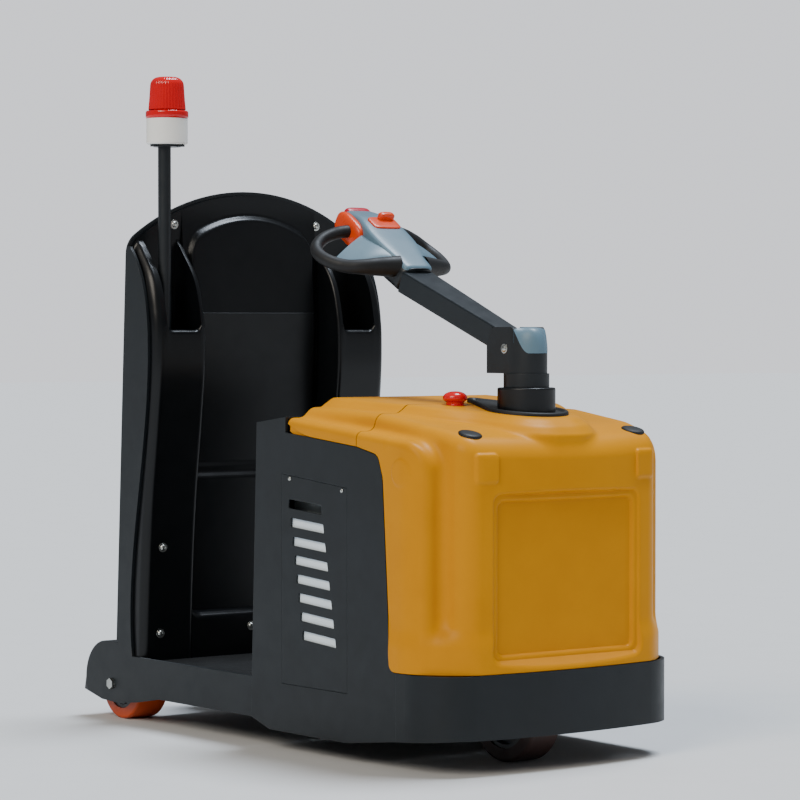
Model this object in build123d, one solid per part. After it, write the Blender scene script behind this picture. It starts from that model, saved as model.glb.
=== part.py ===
"""Stand-on electric tow tractor for baggage carts, as an assembly of separate parts.

Millimetres. +X is forward, +Y is left, +Z is up. The origin is on the floor, under
the middle of the machine. The operator stands at the rear and faces the yellow hood.
"""

import math
import os

from build123d import *

# Overall size
LENGTH = 1490
WIDTH = 720
BACKREST_HEIGHT = 1328
FRONT = LENGTH / 2
REAR = -LENGTH / 2
HALF = WIDTH / 2

# Gaps and sheet thicknesses
PLATE = 8
SHEET = 5
PANEL_GAP = 2
SEAT_GAP = 0.3
RUNNING_GAP = 0.05
MOVING_GAP = 6
PIN_GAP = 0.4

# Rear wheels, their axles and fenders
REAR_WHEEL_R = 90
REAR_WHEEL_WIDTH = 85
REAR_RIM_R = 64
REAR_AXLE_R = 12.5
REAR_AXLE_SETBACK = 128
FENDER_R = 98
FENDER_TOE = 7
FENDER_PLATE = 4
FENDER_ROOF = 46
WHEEL_SIDE_GAP = 20
AXLE_HEAD_R = 14
AXLE_HEAD_LENGTH = 7
HUB_DISH = 22
HUB_WALL = 9

# Operator platform, between the backrest and the battery box
SILL_TOP = 166
SILL_BOTTOM = 70
FENDER_LOWER_EDGE = ((0, 66), (83, 47), (165, 44), (251, 54))
SILL_SETBACK = 345
FLOOR_PLATE = 8
MAT_THICKNESS = 8
MAT_RECESS = 4
MAT_MARGIN = 6
PLATFORM_SETBACK = 261
MAT_SETBACK = 46
RUNNER_HALF = 12

# Battery box, measured back from the front of the machine
BOX_LENGTH = 745
BOX_LEAN = 25
BOX_FOOT = 76
SHELF_DROP = 14
SHELF_RISE = 15
SKIRT_BOTTOM = 47
SKIRT_NOSE_BOTTOM = 80
SKIRT_JOINT_RISE = 22
SKIRT_TOP = 222
SKIRT_CROWN = 40
SKIRT_CORNER_R = 132
SKIRT_WRAP = 183
SKIRT_BEND_SETBACK = 370
BELLY_PLATE = 6
BELLY_RISE = 12
BATTERY_SETBACK = 84
BATTERY_LENGTH = 300
BATTERY_SIDE_GAP = 52
BATTERY_HEADROOM = 137

# Louvred access panels in the sides of the battery box
ACCESS_SETBACK = 127
ACCESS_LENGTH = 254
ACCESS_BOTTOM = 160
ACCESS_TOP_MARGIN = 96
ACCESS_FALL = 23
ACCESS_THICKNESS = 4
ACCESS_LAND = 14
LOUVRE_COUNT = 8
LOUVRE_SHIFT = 7.7
LOUVRE_HEIGHT = 21
LOUVRE_REAR_MARGIN = 28
LOUVRE_FRONT_MARGIN = 40
LOUVRE_TOP_MARGIN = 57
LOUVRE_FOOT_MARGIN = 107
LOUVRE_SLOPE = 4

# Hood: three terraces, stepping up towards the middle
HOOD_SIDE_HEIGHT = 776
NOSE_LENGTH = 330
COVER_LENGTH = 272
SPLIT_GAP = 3
EDGE_DROP = 35
EDGE_SHOULDER_SETBACK = 250
EDGE_SHOULDER_FALL = 16
EDGE_SHOULDER_R = 26
EDGE_NECK_SETBACK = 233
EDGE_NECK_FALL = 50
EDGE_FOOT_SETBACK = 204
EDGE_FOOT_R = 20
WING_WIDTH = 54
WING_SETBACK = 99
WING_NOSE_R = 62
WING_EDGE_R = 16
WING_FALL = 25
WING_NOSE_FALL = 21
BLOCK_STEP = 23
BLOCK_FALL = 9
BLOCK_NOSE_FALL = 46
BLOCK_SETBACK = 5
BLOCK_CROWN = 22
BLOCK_CORNER_R = 36
BLOCK_TAPER = 27
BLOCK_TAPER_SETBACK = 145
BLOCK_TAPER_R = 90
BLOCK_EDGE_R = 24
ISLAND_STEP = 22
ISLAND_FALL = 12
ISLAND_NOSE_FALL = 33
ISLAND_EDGE_R = 8
ISLAND_BEND_R = 70
ISLAND_NOSE_HALF = 104
LEDGE_WIDTH = 70
BASE_BAND = 40
BASE_SLOPE_HEIGHT = 46
BASE_SLOPE_ANGLE = 48
BASE_CORNER_R = 126
RECESS_MARGIN = 89
RECESS_RISE = 18
RECESS_TOP_MARGIN = 122
RECESS_STEP = 19
RECESS_DEPTH = 14
RECESS_R = 16
PAD_SIZE = 74
PAD_INSET = 68
PAD_DROP = 72
PAD_HEIGHT = 6
DISC_R = 30
DISC_SETBACK = 168
DISC_DROP = 66
DISC_HEIGHT = 2.5
CAP_R = 27
CAP_HEIGHT = 5
CAP_SETBACK = 73
CAP_INSET = 68
STOP_AHEAD = 21
STOP_Y = -95
STOP_R = 28
STOP_STEM = 12
STOP_CAP = 16

# Backrest
BACK_SETBACK = 142
BACK_LEAN = 2.75
BACK_PLATE = 6
BACK_SHOULDER_DROP = 132
BACK_SHOULDER_R = 60
BACK_FOOT = 62
BACK_FRONT_EDGE = ((74, 168), (82, 556), (113, 920), (68, 1122), (18, 1186))
WING_BULGE = (34, 32, 26, 18, 10)
WING_OUTER_R = 22
WING_INNER_R = 9
MOULDING_WALL = 5
MOULDING_MARGIN = 10
CENTRE_MARGIN = 44
CENTRE_RAISE = 12
CENTRE_DEPTH = 54
CENTRE_ARCH = 62
CENTRE_TOP_DROP = 66
CENTRE_BEND = 1022
POCKET_RIM = 984
POCKET_FLOOR = 800
POCKET_LIP = 14
LUMBAR_TOP = 632
LUMBAR_RAISE = 16
LUMBAR_CHAMFER = 15
KICK_TOP = 274
KICK_DEPTH = 104
KICK_CHAMFER = 24

# Warning beacon
POLE_R = 16
POLE_INSET = 63
POLE_DEPTH = 86
POLE_TOP = 1430
BEACON_R = 51
BEACON_SHIFT = 8
BEACON_BASE_HEIGHT = 64
BEACON_RING_HEIGHT = 19
BEACON_LENS_HEIGHT = 84
BRACKET_THICKNESS = 6
BRACKET_R = 34

# Tow coupling
HITCH_HEIGHT = 225
HITCH_PLATE = 12
HITCH_GAP = 62
HITCH_WIDTH = 96
HITCH_REACH = 120
HITCH_PIN_SET = 42
HITCH_PIN_R = 13
HITCH_BASE = 14
HITCH_BASE_SIZE = 150
HITCH_RING_R = 22

# Steered drive unit and tiller column
STEER_SETBACK = 167
DRIVE_WHEEL_R = 115
DRIVE_WHEEL_WIDTH = 80
DRIVE_TRAIL = 12
DRIVE_SIDE_SHIFT = 20
DRIVE_RIM_R = 84
DRIVE_AXLE_R = 20
DRIVE_CASE_GAP = 8
DRIVE_CASE_WIDTH = 34
TURNTABLE_R = 96
TURNTABLE_Z = 262
TURNTABLE_HEIGHT = 40
TURNTABLE_DROP = 14
MOUNT_PLATE = 12
MOUNT_RIM = 26
MOTOR_R = 84
MOTOR_HEIGHT = 272
SHAFT_R = 24
COLUMN_R = 66
COLUMN_SINK = 28
COLUMN_HEIGHT = 55
NECK_R = 52
NECK_HEIGHT = 32
GASKET_R = 96
GASKET_TAIL = 205
GASKET_HEIGHT = 6

# Tiller
YOKE_WIDTH = 82
YOKE_CHEEK = 8
YOKE_REAR = 84
YOKE_FRONT = 40
YOKE_HEIGHT = 105
YOKE_NOSE_R = 46
YOKE_FLOOR = 12
PIVOT_BACK = 20
PIVOT_RISE = 56
PIVOT_R = 10
ARM_SIDE_GAP = 1.5
TILLER_ANGLE = 21.5
ARM_LENGTH = 424
ARM_HEIGHT = 52
ARM_WIDTH_HEAD = 88
HEAD_LENGTH = 246
HEAD_TILT = 12
HEAD_HEIGHT = 62
HEAD_HALF = 88
NOSE_HALF = 40
GRIP_R = 15
GRIP_REACH = 182
BUTTERFLY_R = 34
BUTTERFLY_WIDTH = 20
BUTTERFLY_GAP = 6

# Places along the machine that follow from the sizes above
rear_axle_x = REAR + REAR_AXLE_SETBACK
rear_axle_z = REAR_WHEEL_R
fender_x = REAR + FENDER_R + FENDER_TOE
fender_top = 2 * FENDER_R
back_foot_x = REAR + BACK_SETBACK
platform_rear = REAR + PLATFORM_SETBACK
box_rear = FRONT - BOX_LENGTH
split_x = FRONT - NOSE_LENGTH
cover_rear = split_x - COVER_LENGTH
skirt_joint = FRONT - SKIRT_WRAP
wing_front = FRONT - WING_SETBACK
steer_x = FRONT - STEER_SETBACK
pivot_x = steer_x - PIVOT_BACK
drive_x = steer_x - DRIVE_TRAIL
drive_y = -DRIVE_SIDE_SHIFT
beyond = LENGTH + WIDTH

# Places across the machine
plate_y = HALF - PLATE
rear_wheel_y = plate_y - WHEEL_SIDE_GAP - REAR_WHEEL_WIDTH / 2
housing_inner_y = rear_wheel_y - REAR_WHEEL_WIDTH / 2 - WHEEL_SIDE_GAP
cheek_y = housing_inner_y - PLATE
wing_inner = cheek_y - SEAT_GAP - MOULDING_WALL
centre_half = wing_inner - CENTRE_MARGIN
block_half = HALF - WING_WIDTH
island_half = block_half - LEDGE_WIDTH
recess_half = block_half - RECESS_MARGIN

# Heights
floor_top = SILL_TOP - MAT_RECESS - MAT_THICKNESS
floor_under = floor_top - FLOOR_PLATE
box_top = HOOD_SIDE_HEIGHT - SHELF_DROP
access_top = HOOD_SIDE_HEIGHT - EDGE_DROP - ACCESS_TOP_MARGIN
wing_split = HOOD_SIDE_HEIGHT - WING_FALL
wing_nose = wing_split - WING_NOSE_FALL
block_rear = HOOD_SIDE_HEIGHT + BLOCK_STEP
block_split = block_rear - BLOCK_FALL
block_nose = block_split - BLOCK_NOSE_FALL
island_rear = block_rear + ISLAND_STEP
island_split = island_rear - ISLAND_FALL
island_nose = island_split - ISLAND_NOSE_FALL
island_column = island_nose + ISLAND_NOSE_FALL * STEER_SETBACK / NOSE_LENGTH
recess_bottom = SKIRT_TOP + RECESS_RISE
recess_top = block_nose - RECESS_TOP_MARGIN
column_foot_z = island_column - COLUMN_SINK
column_top = island_column + COLUMN_HEIGHT
neck_top = column_top + NECK_HEIGHT
yoke_top = neck_top + YOKE_HEIGHT
pivot_z = neck_top + PIVOT_RISE

# Leaning frames that the backrest and the tiller are drawn in
back_frame = Location((back_foot_x, 0, 0), (0, BACK_LEAN, 0))
tiller_frame = Location((pivot_x, 0, pivot_z), (0, TILLER_ANGLE, 0))
head_plane = Location((-ARM_LENGTH, 0, -4), (0, HEAD_TILT, 0))
head_slope = math.tan(math.radians(HEAD_TILT))
parts = {}


# Small helpers for plates cut from flat outlines
def polygon(*points):
    """A flat face on XY with straight sides through the points."""
    return make_face(Polyline(*points, close=True))


def plate_xz(outline, y_low, y_high):
    """An outline drawn in X and Z, as thick as the stretch from y_low to y_high."""
    plane = Plane((0, y_high, 0), x_dir=(1, 0, 0), z_dir=(0, -1, 0))
    return extrude(plane * outline, y_high - y_low)


def plate_xy(outline, z_low, z_high):
    """An outline drawn in X and Y, from z_low up to z_high."""
    return extrude(Pos(0, 0, z_low) * outline, z_high - z_low)


def plate_yz(outline, x_low, x_high):
    """An outline drawn in Y and Z, from x_low to x_high."""
    plane = Plane((x_low, 0, 0), x_dir=(0, 1, 0), z_dir=(1, 0, 0))
    return extrude(plane * outline, x_high - x_low)


def block(x_low, x_high, y_low, y_high, z_low, z_high):
    """A plain block between two corners."""
    size = (x_high - x_low, y_high - y_low, z_high - z_low)
    middle = ((x_low + x_high) / 2, (y_low + y_high) / 2, (z_low + z_high) / 2)
    return Pos(*middle) * Box(*size)


def rod_y(x, z, radius, y_low, y_high):
    """A round bar that lies along Y."""
    return Pos(x, (y_low + y_high) / 2, z) * Rot(90, 0, 0) * Cylinder(radius, y_high - y_low)


def rod_z(x, y, radius, z_low, z_high):
    """A round bar that stands upright."""
    return Pos(x, y, (z_low + z_high) / 2) * Cylinder(radius, z_high - z_low)


def mirrored(shape):
    """The same piece on the other side of the machine."""
    return mirror(shape, about=Plane.XZ)


def pair(shape):
    """A right-hand piece and its left-hand twin, as one node of separate solids."""
    return Compound(shape.solids() + mirrored(shape).solids())


def nose_plan(rear, front, half, crown, corner_r):
    """Plan outline of the front of the machine: a bowed nose between rounded corners."""
    edge = front - crown
    nose = ThreePointArc((edge, -half), (front, 0), (edge, half))
    sides = Polyline((edge, half), (rear, half), (rear, -half), (edge, -half))
    face = make_face(Curve() + [nose, sides])
    corners = face.vertices().sort_by(Axis.X)[-2:]
    return fillet(corners, corner_r)


# Chassis plates
def box_outline(grow=0):
    """Side of the battery box, grown by a gap, with a top edge that steps down to the hood."""
    edge_split = wing_split - EDGE_DROP
    shoulder = (FRONT - EDGE_SHOULDER_SETBACK, edge_split - EDGE_SHOULDER_FALL + grow)
    neck = (FRONT - EDGE_NECK_SETBACK + grow, edge_split - EDGE_SHOULDER_FALL - EDGE_NECK_FALL)
    foot = (FRONT - EDGE_FOOT_SETBACK + grow, SKIRT_TOP + grow)
    step_x = cover_rear - PANEL_GAP + grow
    face = polygon(
        (box_rear - grow, SILL_BOTTOM),
        (box_rear + BOX_LEAN - grow, box_top + grow),
        (step_x, box_top + SHELF_RISE + grow),
        (step_x, HOOD_SIDE_HEIGHT - EDGE_DROP + grow),
        (split_x, edge_split + grow),
        shoulder,
        neck,
        foot,
        (skirt_joint, SKIRT_TOP + grow),
        (skirt_joint, SKIRT_BOTTOM + SKIRT_JOINT_RISE),
        (FRONT - SKIRT_BEND_SETBACK, SKIRT_BOTTOM),
        (box_rear + BOX_FOOT, SKIRT_BOTTOM),
    )
    face = fillet(face.vertices().sort_by_distance(shoulder)[0], EDGE_SHOULDER_R)
    return fillet(face.vertices().sort_by_distance(foot)[0], EDGE_FOOT_R)


def access_outline(grow=0):
    """Outline of the access panel, whose top edge falls towards the front."""
    rear = box_rear + ACCESS_SETBACK
    return polygon(
        (rear - grow, ACCESS_BOTTOM - grow),
        (rear + ACCESS_LENGTH + grow, ACCESS_BOTTOM - grow),
        (rear + ACCESS_LENGTH + grow, access_top - ACCESS_FALL + grow),
        (rear - grow, access_top + grow),
    )


def box_side():
    """Outer plate of the battery box, with the window that the access panel closes."""
    plate = plate_xz(box_outline(), -HALF, -plate_y)
    window = plate_xz(access_outline(PANEL_GAP / 2), -HALF - 1, -HALF + ACCESS_THICKNESS)
    opening = plate_xz(access_outline(-ACCESS_LAND), -HALF - 1, -plate_y + 1)
    return plate - window - opening


def access_panel():
    """Louvred cover: a slanting ladder of slots above a plain foot."""
    panel = plate_xz(access_outline(), -HALF, -HALF + ACCESS_THICKNESS)
    steps = LOUVRE_COUNT - 1
    length = ACCESS_LENGTH - LOUVRE_REAR_MARGIN - LOUVRE_FRONT_MARGIN - steps * LOUVRE_SHIFT
    height = access_top - ACCESS_BOTTOM
    pitch = (height - LOUVRE_TOP_MARGIN - LOUVRE_FOOT_MARGIN - LOUVRE_HEIGHT) / steps
    slope = LOUVRE_HEIGHT / 4
    slot = polygon((0, 0), (length - slope, 0), (length, -LOUVRE_HEIGHT), (0, -LOUVRE_HEIGHT))
    slot = Rot(0, 0, -LOUVRE_SLOPE) * fillet(slot.vertices(), 3)
    for row in range(LOUVRE_COUNT):
        x = box_rear + ACCESS_SETBACK + LOUVRE_REAR_MARGIN + row * LOUVRE_SHIFT
        z = access_top - LOUVRE_TOP_MARGIN - row * pitch
        panel -= plate_xz(Pos(x, z) * slot, -HALF - 1, -HALF + ACCESS_THICKNESS + 1)
    return panel


def sill_outline():
    """Side of the platform, running back into the round fender outside the rear wheel."""
    lean = BOX_LEAN * (SILL_TOP - SILL_BOTTOM) / (box_top - SILL_BOTTOM)
    lower_edge = [(REAR + x, z) for x, z in FENDER_LOWER_EDGE]
    tail = polygon(
        *lower_edge,
        (REAR + SILL_SETBACK, SILL_BOTTOM),
        (box_rear, SILL_BOTTOM),
        (box_rear + lean, SILL_TOP),
        (back_foot_x + BACK_FRONT_EDGE[0][0], SILL_TOP),
        (fender_x + FENDER_ROOF, fender_top),
        (fender_x, fender_top),
        (fender_x - FENDER_R, FENDER_R),
    )
    return tail + Pos(fender_x, FENDER_R) * Circle(FENDER_R)


def back_profile(bulge):
    """Front line of the backrest from the side: lumbar bulge, then a sweep back to the shoulder."""
    return Spline(*[(d + extra, z) for (d, z), extra in zip(BACK_FRONT_EDGE, bulge)])


def side_plate():
    """One plate for the sill, the fender and the curved side of the backrest, drilled for the axle."""
    line = back_profile((0, 0, 0, 0, 0))
    shoulder = (BACK_PLATE, BACK_FRONT_EDGE[-1][1])
    rest = Polyline(line @ 1, shoulder, (BACK_PLATE, SILL_TOP - FLOOR_PLATE), line @ 0)
    flange = back_frame * plate_xz(make_face(Curve() + [line, rest]), -HALF, -plate_y)
    plate = plate_xz(sill_outline(), -HALF, -plate_y) + flange
    return plate - rod_y(rear_axle_x, rear_axle_z, REAR_AXLE_R, -HALF - 1, -plate_y + 1)


def wheel_housing():
    """Rolled fender skin and the inner cheek that carries the far end of the axle."""
    inner_r = FENDER_R - FENDER_PLATE
    ring = Pos(fender_x, FENDER_R) * (Circle(FENDER_R) - Circle(inner_r))
    rear_half = Pos(fender_x - FENDER_R, FENDER_R) * Rectangle(2 * FENDER_R, 3 * FENDER_R)
    upper = Pos(fender_x, 1.5 * FENDER_R) * Rectangle(4 * FENDER_R, FENDER_R)
    roof_middle = (fender_x + FENDER_ROOF / 2, fender_top - FENDER_PLATE / 2)
    roof = Pos(*roof_middle) * Rectangle(FENDER_ROOF, FENDER_PLATE)
    skin = plate_xz((ring & rear_half & upper) + roof, -plate_y, -housing_inner_y)
    cheek_front = platform_rear - 2 * MOVING_GAP
    cheek = polygon(
        (fender_x - FENDER_R, FENDER_R),
        (rear_axle_x - 3 * REAR_AXLE_R, rear_axle_z - 3 * REAR_AXLE_R),
        (cheek_front, rear_axle_z - 2 * REAR_AXLE_R),
        (cheek_front, floor_under),
        (fender_x + FENDER_ROOF, fender_top),
        (fender_x, fender_top),
    )
    lobe = Pos(fender_x, FENDER_R) * Circle(FENDER_R)
    cheek = plate_xz(cheek + (lobe & rear_half & upper), -housing_inner_y, -cheek_y)
    bore = rod_y(rear_axle_x, rear_axle_z, REAR_AXLE_R, -housing_inner_y - 1, -cheek_y + 1)
    return skin + (cheek - bore)


def rear_axle():
    """Through bolt that the rear wheel turns on, with a hexagon head outside the fender."""
    shaft = rod_y(rear_axle_x, rear_axle_z, REAR_AXLE_R, -HALF, -cheek_y + 12)
    head_plane_y = Plane((rear_axle_x, -HALF, rear_axle_z), z_dir=(0, -1, 0))
    nut_plane_y = Plane((rear_axle_x, -cheek_y, rear_axle_z), z_dir=(0, 1, 0))
    head = extrude(head_plane_y * RegularPolygon(AXLE_HEAD_R, 6), AXLE_HEAD_LENGTH)
    nut = extrude(nut_plane_y * RegularPolygon(AXLE_HEAD_R + 5, 6), 10)
    return shaft + head + nut


def rear_wheel():
    """Cast hub and the polyurethane tyre bonded to it."""
    low = -rear_wheel_y - REAR_WHEEL_WIDTH / 2
    high = low + REAR_WHEEL_WIDTH
    tyre = rod_y(rear_axle_x, rear_axle_z, REAR_WHEEL_R, low, high)
    tyre = fillet(tyre.edges().filter_by(GeomType.CIRCLE), 6)
    tyre -= rod_y(rear_axle_x, rear_axle_z, REAR_RIM_R, low - 1, high + 1)
    rim = rod_y(rear_axle_x, rear_axle_z, REAR_RIM_R, low + 4, high - 4)
    boss_r = REAR_AXLE_R + 17
    for face_y, inward in ((low + 4, 1), (high - 4, -1)):
        start, stop = sorted((face_y - inward, face_y + inward * HUB_DISH))
        dish = rod_y(rear_axle_x, rear_axle_z, REAR_RIM_R - HUB_WALL, start, stop)
        rim -= dish - rod_y(rear_axle_x, rear_axle_z, boss_r, start, stop)
    reach = WHEEL_SIDE_GAP / 2
    hub = rim + rod_y(rear_axle_x, rear_axle_z, boss_r, low - reach, high + reach)
    bore_r = REAR_AXLE_R + RUNNING_GAP
    hub -= rod_y(rear_axle_x, rear_axle_z, bore_r, low - 2 * reach, high + 2 * reach)
    return tyre, hub


def front_skirt():
    """Bumper plate bent round the nose, its lower edge rising to the front."""
    outer = nose_plan(skirt_joint, FRONT, HALF, SKIRT_CROWN, SKIRT_CORNER_R)
    inner_r = SKIRT_CORNER_R - PLATE
    inner = nose_plan(skirt_joint - 1, FRONT - PLATE, plate_y, SKIRT_CROWN, inner_r)
    band = plate_xy(outer, SKIRT_BOTTOM, SKIRT_TOP)
    band -= plate_xy(inner, SKIRT_BOTTOM - 1, SKIRT_TOP + 1)
    joint_z = SKIRT_BOTTOM + SKIRT_JOINT_RISE
    below = polygon(
        (skirt_joint - 1, SKIRT_BOTTOM - 1),
        (skirt_joint - 1, joint_z),
        (skirt_joint, joint_z),
        (FRONT - SKIRT_CROWN, SKIRT_NOSE_BOTTOM),
        (FRONT + 1, SKIRT_NOSE_BOTTOM),
        (FRONT + 1, SKIRT_BOTTOM - 1),
    )
    return band - plate_xz(below, -HALF - 1, HALF + 1)


def bulkhead():
    """Leaning wall in front of the operator's legs, folded over at the top into a shelf."""
    lean = BOX_LEAN / (box_top - SILL_BOTTOM)
    foot_x = box_rear + lean * (floor_under - SILL_BOTTOM)
    shelf_x = cover_rear - PANEL_GAP
    outline = polygon(
        (foot_x, floor_under),
        (box_rear + BOX_LEAN, box_top),
        (shelf_x, box_top + SHELF_RISE),
        (shelf_x, box_top + SHELF_RISE - SHEET),
        (box_rear + BOX_LEAN + SHEET, box_top - SHEET),
        (foot_x + SHEET, floor_under),
    )
    return plate_xz(outline, -plate_y, plate_y)


def platform():
    """Floor plate between the sills, and the ribbed rubber mat let in on top of it."""
    lean = math.radians(BACK_LEAN)
    rear = back_foot_x + floor_top * math.tan(lean) + BACK_PLATE / math.cos(lean) + SEAT_GAP
    floor = block(rear, box_rear, -plate_y, plate_y, floor_under, floor_top)
    notch_front = platform_rear - PLATE
    for side in (-1, 1):
        low, high = sorted((side * (cheek_y - SEAT_GAP), side * (plate_y + 1)))
        floor -= block(rear - 1, notch_front, low, high, floor_under - 1, floor_top + 1)
    runner_rear = rear + 5 * RUNNER_HALF
    runner = block(runner_rear, box_rear, -RUNNER_HALF, RUNNER_HALF, SILL_BOTTOM, floor_under)
    mat_half = plate_y - MAT_MARGIN
    mat_rear = platform_rear + MAT_SETBACK
    mat_front = box_rear - MAT_MARGIN
    mat = block(mat_rear, mat_front, -mat_half, mat_half, floor_top, floor_top + MAT_THICKNESS)
    return floor + runner, mat


belly_low = SKIRT_BOTTOM + BELLY_RISE
battery_low = belly_low + BELLY_PLATE


def belly_plate():
    """Tray under the battery, between the side plates."""
    rear = box_rear + BATTERY_SETBACK - 2
    front = rear + BATTERY_LENGTH + MOVING_GAP
    return block(rear, front, -plate_y, plate_y, belly_low, battery_low)


def battery():
    """Traction battery, as one plain block on its tray."""
    rear = box_rear + BATTERY_SETBACK
    half = plate_y - BATTERY_SIDE_GAP
    top = box_top - BATTERY_HEADROOM
    case = block(rear, rear + BATTERY_LENGTH, -half, half, battery_low, top)
    return fillet(case.edges().filter_by(Axis.Z), 12)


# Hood
island_line = ((cover_rear, island_rear), (split_x, island_split), (FRONT, island_nose))
block_line = ((cover_rear, block_rear), (split_x, block_split), (FRONT, block_nose))
wing_line = ((cover_rear, HOOD_SIDE_HEIGHT), (split_x, wing_split), (wing_front, wing_nose))


def top_height(line, x):
    """Height at x of a terrace's top line."""
    for (x0, z0), (x1, z1) in zip(line, line[1:]):
        if x0 <= x <= x1:
            return z0 + (z1 - z0) * (x - x0) / (x1 - x0)
    return line[-1][1]


def slope_of(line, x):
    """Tilt of a terrace's top line at x, in degrees, positive where it falls to the front."""
    return math.degrees(math.atan((top_height(line, x - 1) - top_height(line, x + 1)) / 2))


def under_line(line, inset=0):
    """Side view of what lies under a top line, down to the skirt, inset all round."""
    top = [(x, z - inset) for x, z in line]
    top[0] = (line[0][0] + inset, top[0][1])
    top[-1] = (line[-1][0] - inset, top[-1][1])
    return polygon((top[0][0], SKIRT_TOP), *top, (top[-1][0], SKIRT_TOP))


def rounded_top(body, radius):
    """The same terrace with the rim of its top rounded over, but not its rear end."""
    tops = [face for face in body.faces() if face.normal_at().Z > 0.9]
    rims = []
    for edge in ShapeList(tops).edges():
        owners = [face for face in tops if edge in face.edges()]
        if len(owners) == 1 and edge.center().X > cover_rear + SHEET + 1:
            rims.append(edge)
    return fillet(rims, radius)


def hood_wings(inset):
    """Outer terrace, with a nose rolled down at each side of the middle block."""
    outline = under_line(wing_line, inset)
    nose = outline.vertices().sort_by_distance((wing_front - inset, wing_nose - inset))[0]
    slab = plate_xz(fillet(nose, WING_NOSE_R - inset), -HALF, HALF)
    slab = slab & plate_xy(base_plan(cover_rear + inset, inset), SKIRT_TOP, block_rear)
    outer = [e for e in slab.edges() if abs(e.center().Y) > block_half and e.center().Z > SKIRT_TOP + 1]
    return fillet([e for e in outer if e.center().X > cover_rear + SHEET + 1], WING_EDGE_R - inset)


def base_plan(rear, inset):
    """Plan outline of the lower band of the hood, which its wings keep to as well."""
    return nose_plan(rear, FRONT - 1 - inset, HALF - inset, SKIRT_CROWN, BASE_CORNER_R - inset)


def block_plan(inset):
    """Plan outline of the middle terrace, which narrows to its bowed front."""
    half = block_half - inset
    front = FRONT - BLOCK_SETBACK - inset
    edge = front - BLOCK_CROWN
    bend = FRONT - BLOCK_TAPER_SETBACK
    rear = cover_rear + inset
    nose = ThreePointArc((edge, BLOCK_TAPER - half), (front, 0), (edge, half - BLOCK_TAPER))
    right = ((edge, BLOCK_TAPER - half), (bend, -half), (rear, -half))
    left = [(x, -y) for x, y in reversed(right)]
    face = make_face(Curve() + [nose, Polyline(*right, *left)])
    face = fillet(face.vertices().sort_by(Axis.X)[-2:], BLOCK_CORNER_R - inset)
    return fillet([v for v in face.vertices() if abs(v.X - bend) < 0.1], BLOCK_TAPER_R)


def hood_block(inset):
    """Middle terrace: it stands proud at the front as the bowed nose of the hood."""
    body = plate_xy(block_plan(inset), SKIRT_TOP, island_rear)
    body = body & plate_xz(under_line(block_line, inset), -HALF, HALF)
    return rounded_top(body, BLOCK_EDGE_R - inset)


def hood_island(inset):
    """Top terrace: broad at the operator's end, narrowing to a tongue round the column."""
    half = island_half - inset
    nose_half = ISLAND_NOSE_HALF - inset
    bend_x = split_x + 20
    tongue_x = steer_x + 12
    end_x = tongue_x + nose_half
    right = ((cover_rear + inset, -half), (bend_x, -half), (tongue_x, -nose_half), (end_x, -nose_half))
    plan = polygon(*right, *[(x, -y) for x, y in reversed(right)])
    rounds = ((bend_x, ISLAND_BEND_R), (tongue_x, ISLAND_BEND_R / 2), (end_x, 0.8 * nose_half))
    for x, radius in rounds:
        plan = fillet([v for v in plan.vertices() if abs(v.X - x) < 0.1], radius)
    body = plate_xy(plan, block_nose - BLOCK_NOSE_FALL, island_rear + 1)
    body = body & plate_xz(under_line(island_line, inset), -HALF, HALF)
    return rounded_top(body, ISLAND_EDGE_R - inset)


def hood_base(inset):
    """Lower band of the hood, as wide as the skirt, with a sloping shoulder."""
    plan = base_plan(skirt_joint - EDGE_FOOT_R, inset)
    band_top = SKIRT_TOP + BASE_BAND
    band = plate_xy(plan, SKIRT_TOP, band_top)
    rise = BASE_SLOPE_HEIGHT - inset
    return band + extrude(Pos(0, 0, band_top) * plan, rise, taper=BASE_SLOPE_ANGLE)


def hood_envelope(inset=0):
    """Whole outside of the hood, or its inside when inset by the wall."""
    return hood_wings(inset) + hood_block(inset) + hood_island(inset) + hood_base(inset)


def recess_outline(step):
    """Rounded rectangle of the panel pressed into the nose, or its inner step."""
    height = recess_top - recess_bottom - 2 * step
    centre = (recess_top + recess_bottom) / 2
    return Pos(0, centre) * RectangleRounded(2 * (recess_half - step), height, RECESS_R)


def hood_pads(shell):
    """The shell with two square pads raised at the top corners of its bowed face."""
    proud = plate_xy(block_plan(-PAD_HEIGHT), SKIRT_TOP, block_nose)
    face_x = FRONT - BLOCK_SETBACK - BLOCK_CROWN
    for side in (-1, 1):
        centre = Pos(side * (block_half - PAD_INSET), block_nose - PAD_DROP)
        pad = centre * RectangleRounded(PAD_SIZE, PAD_SIZE, PAD_SIZE / 8)
        shell += plate_yz(pad, face_x - 2 * SHEET, FRONT) & proud
    return shell


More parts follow.
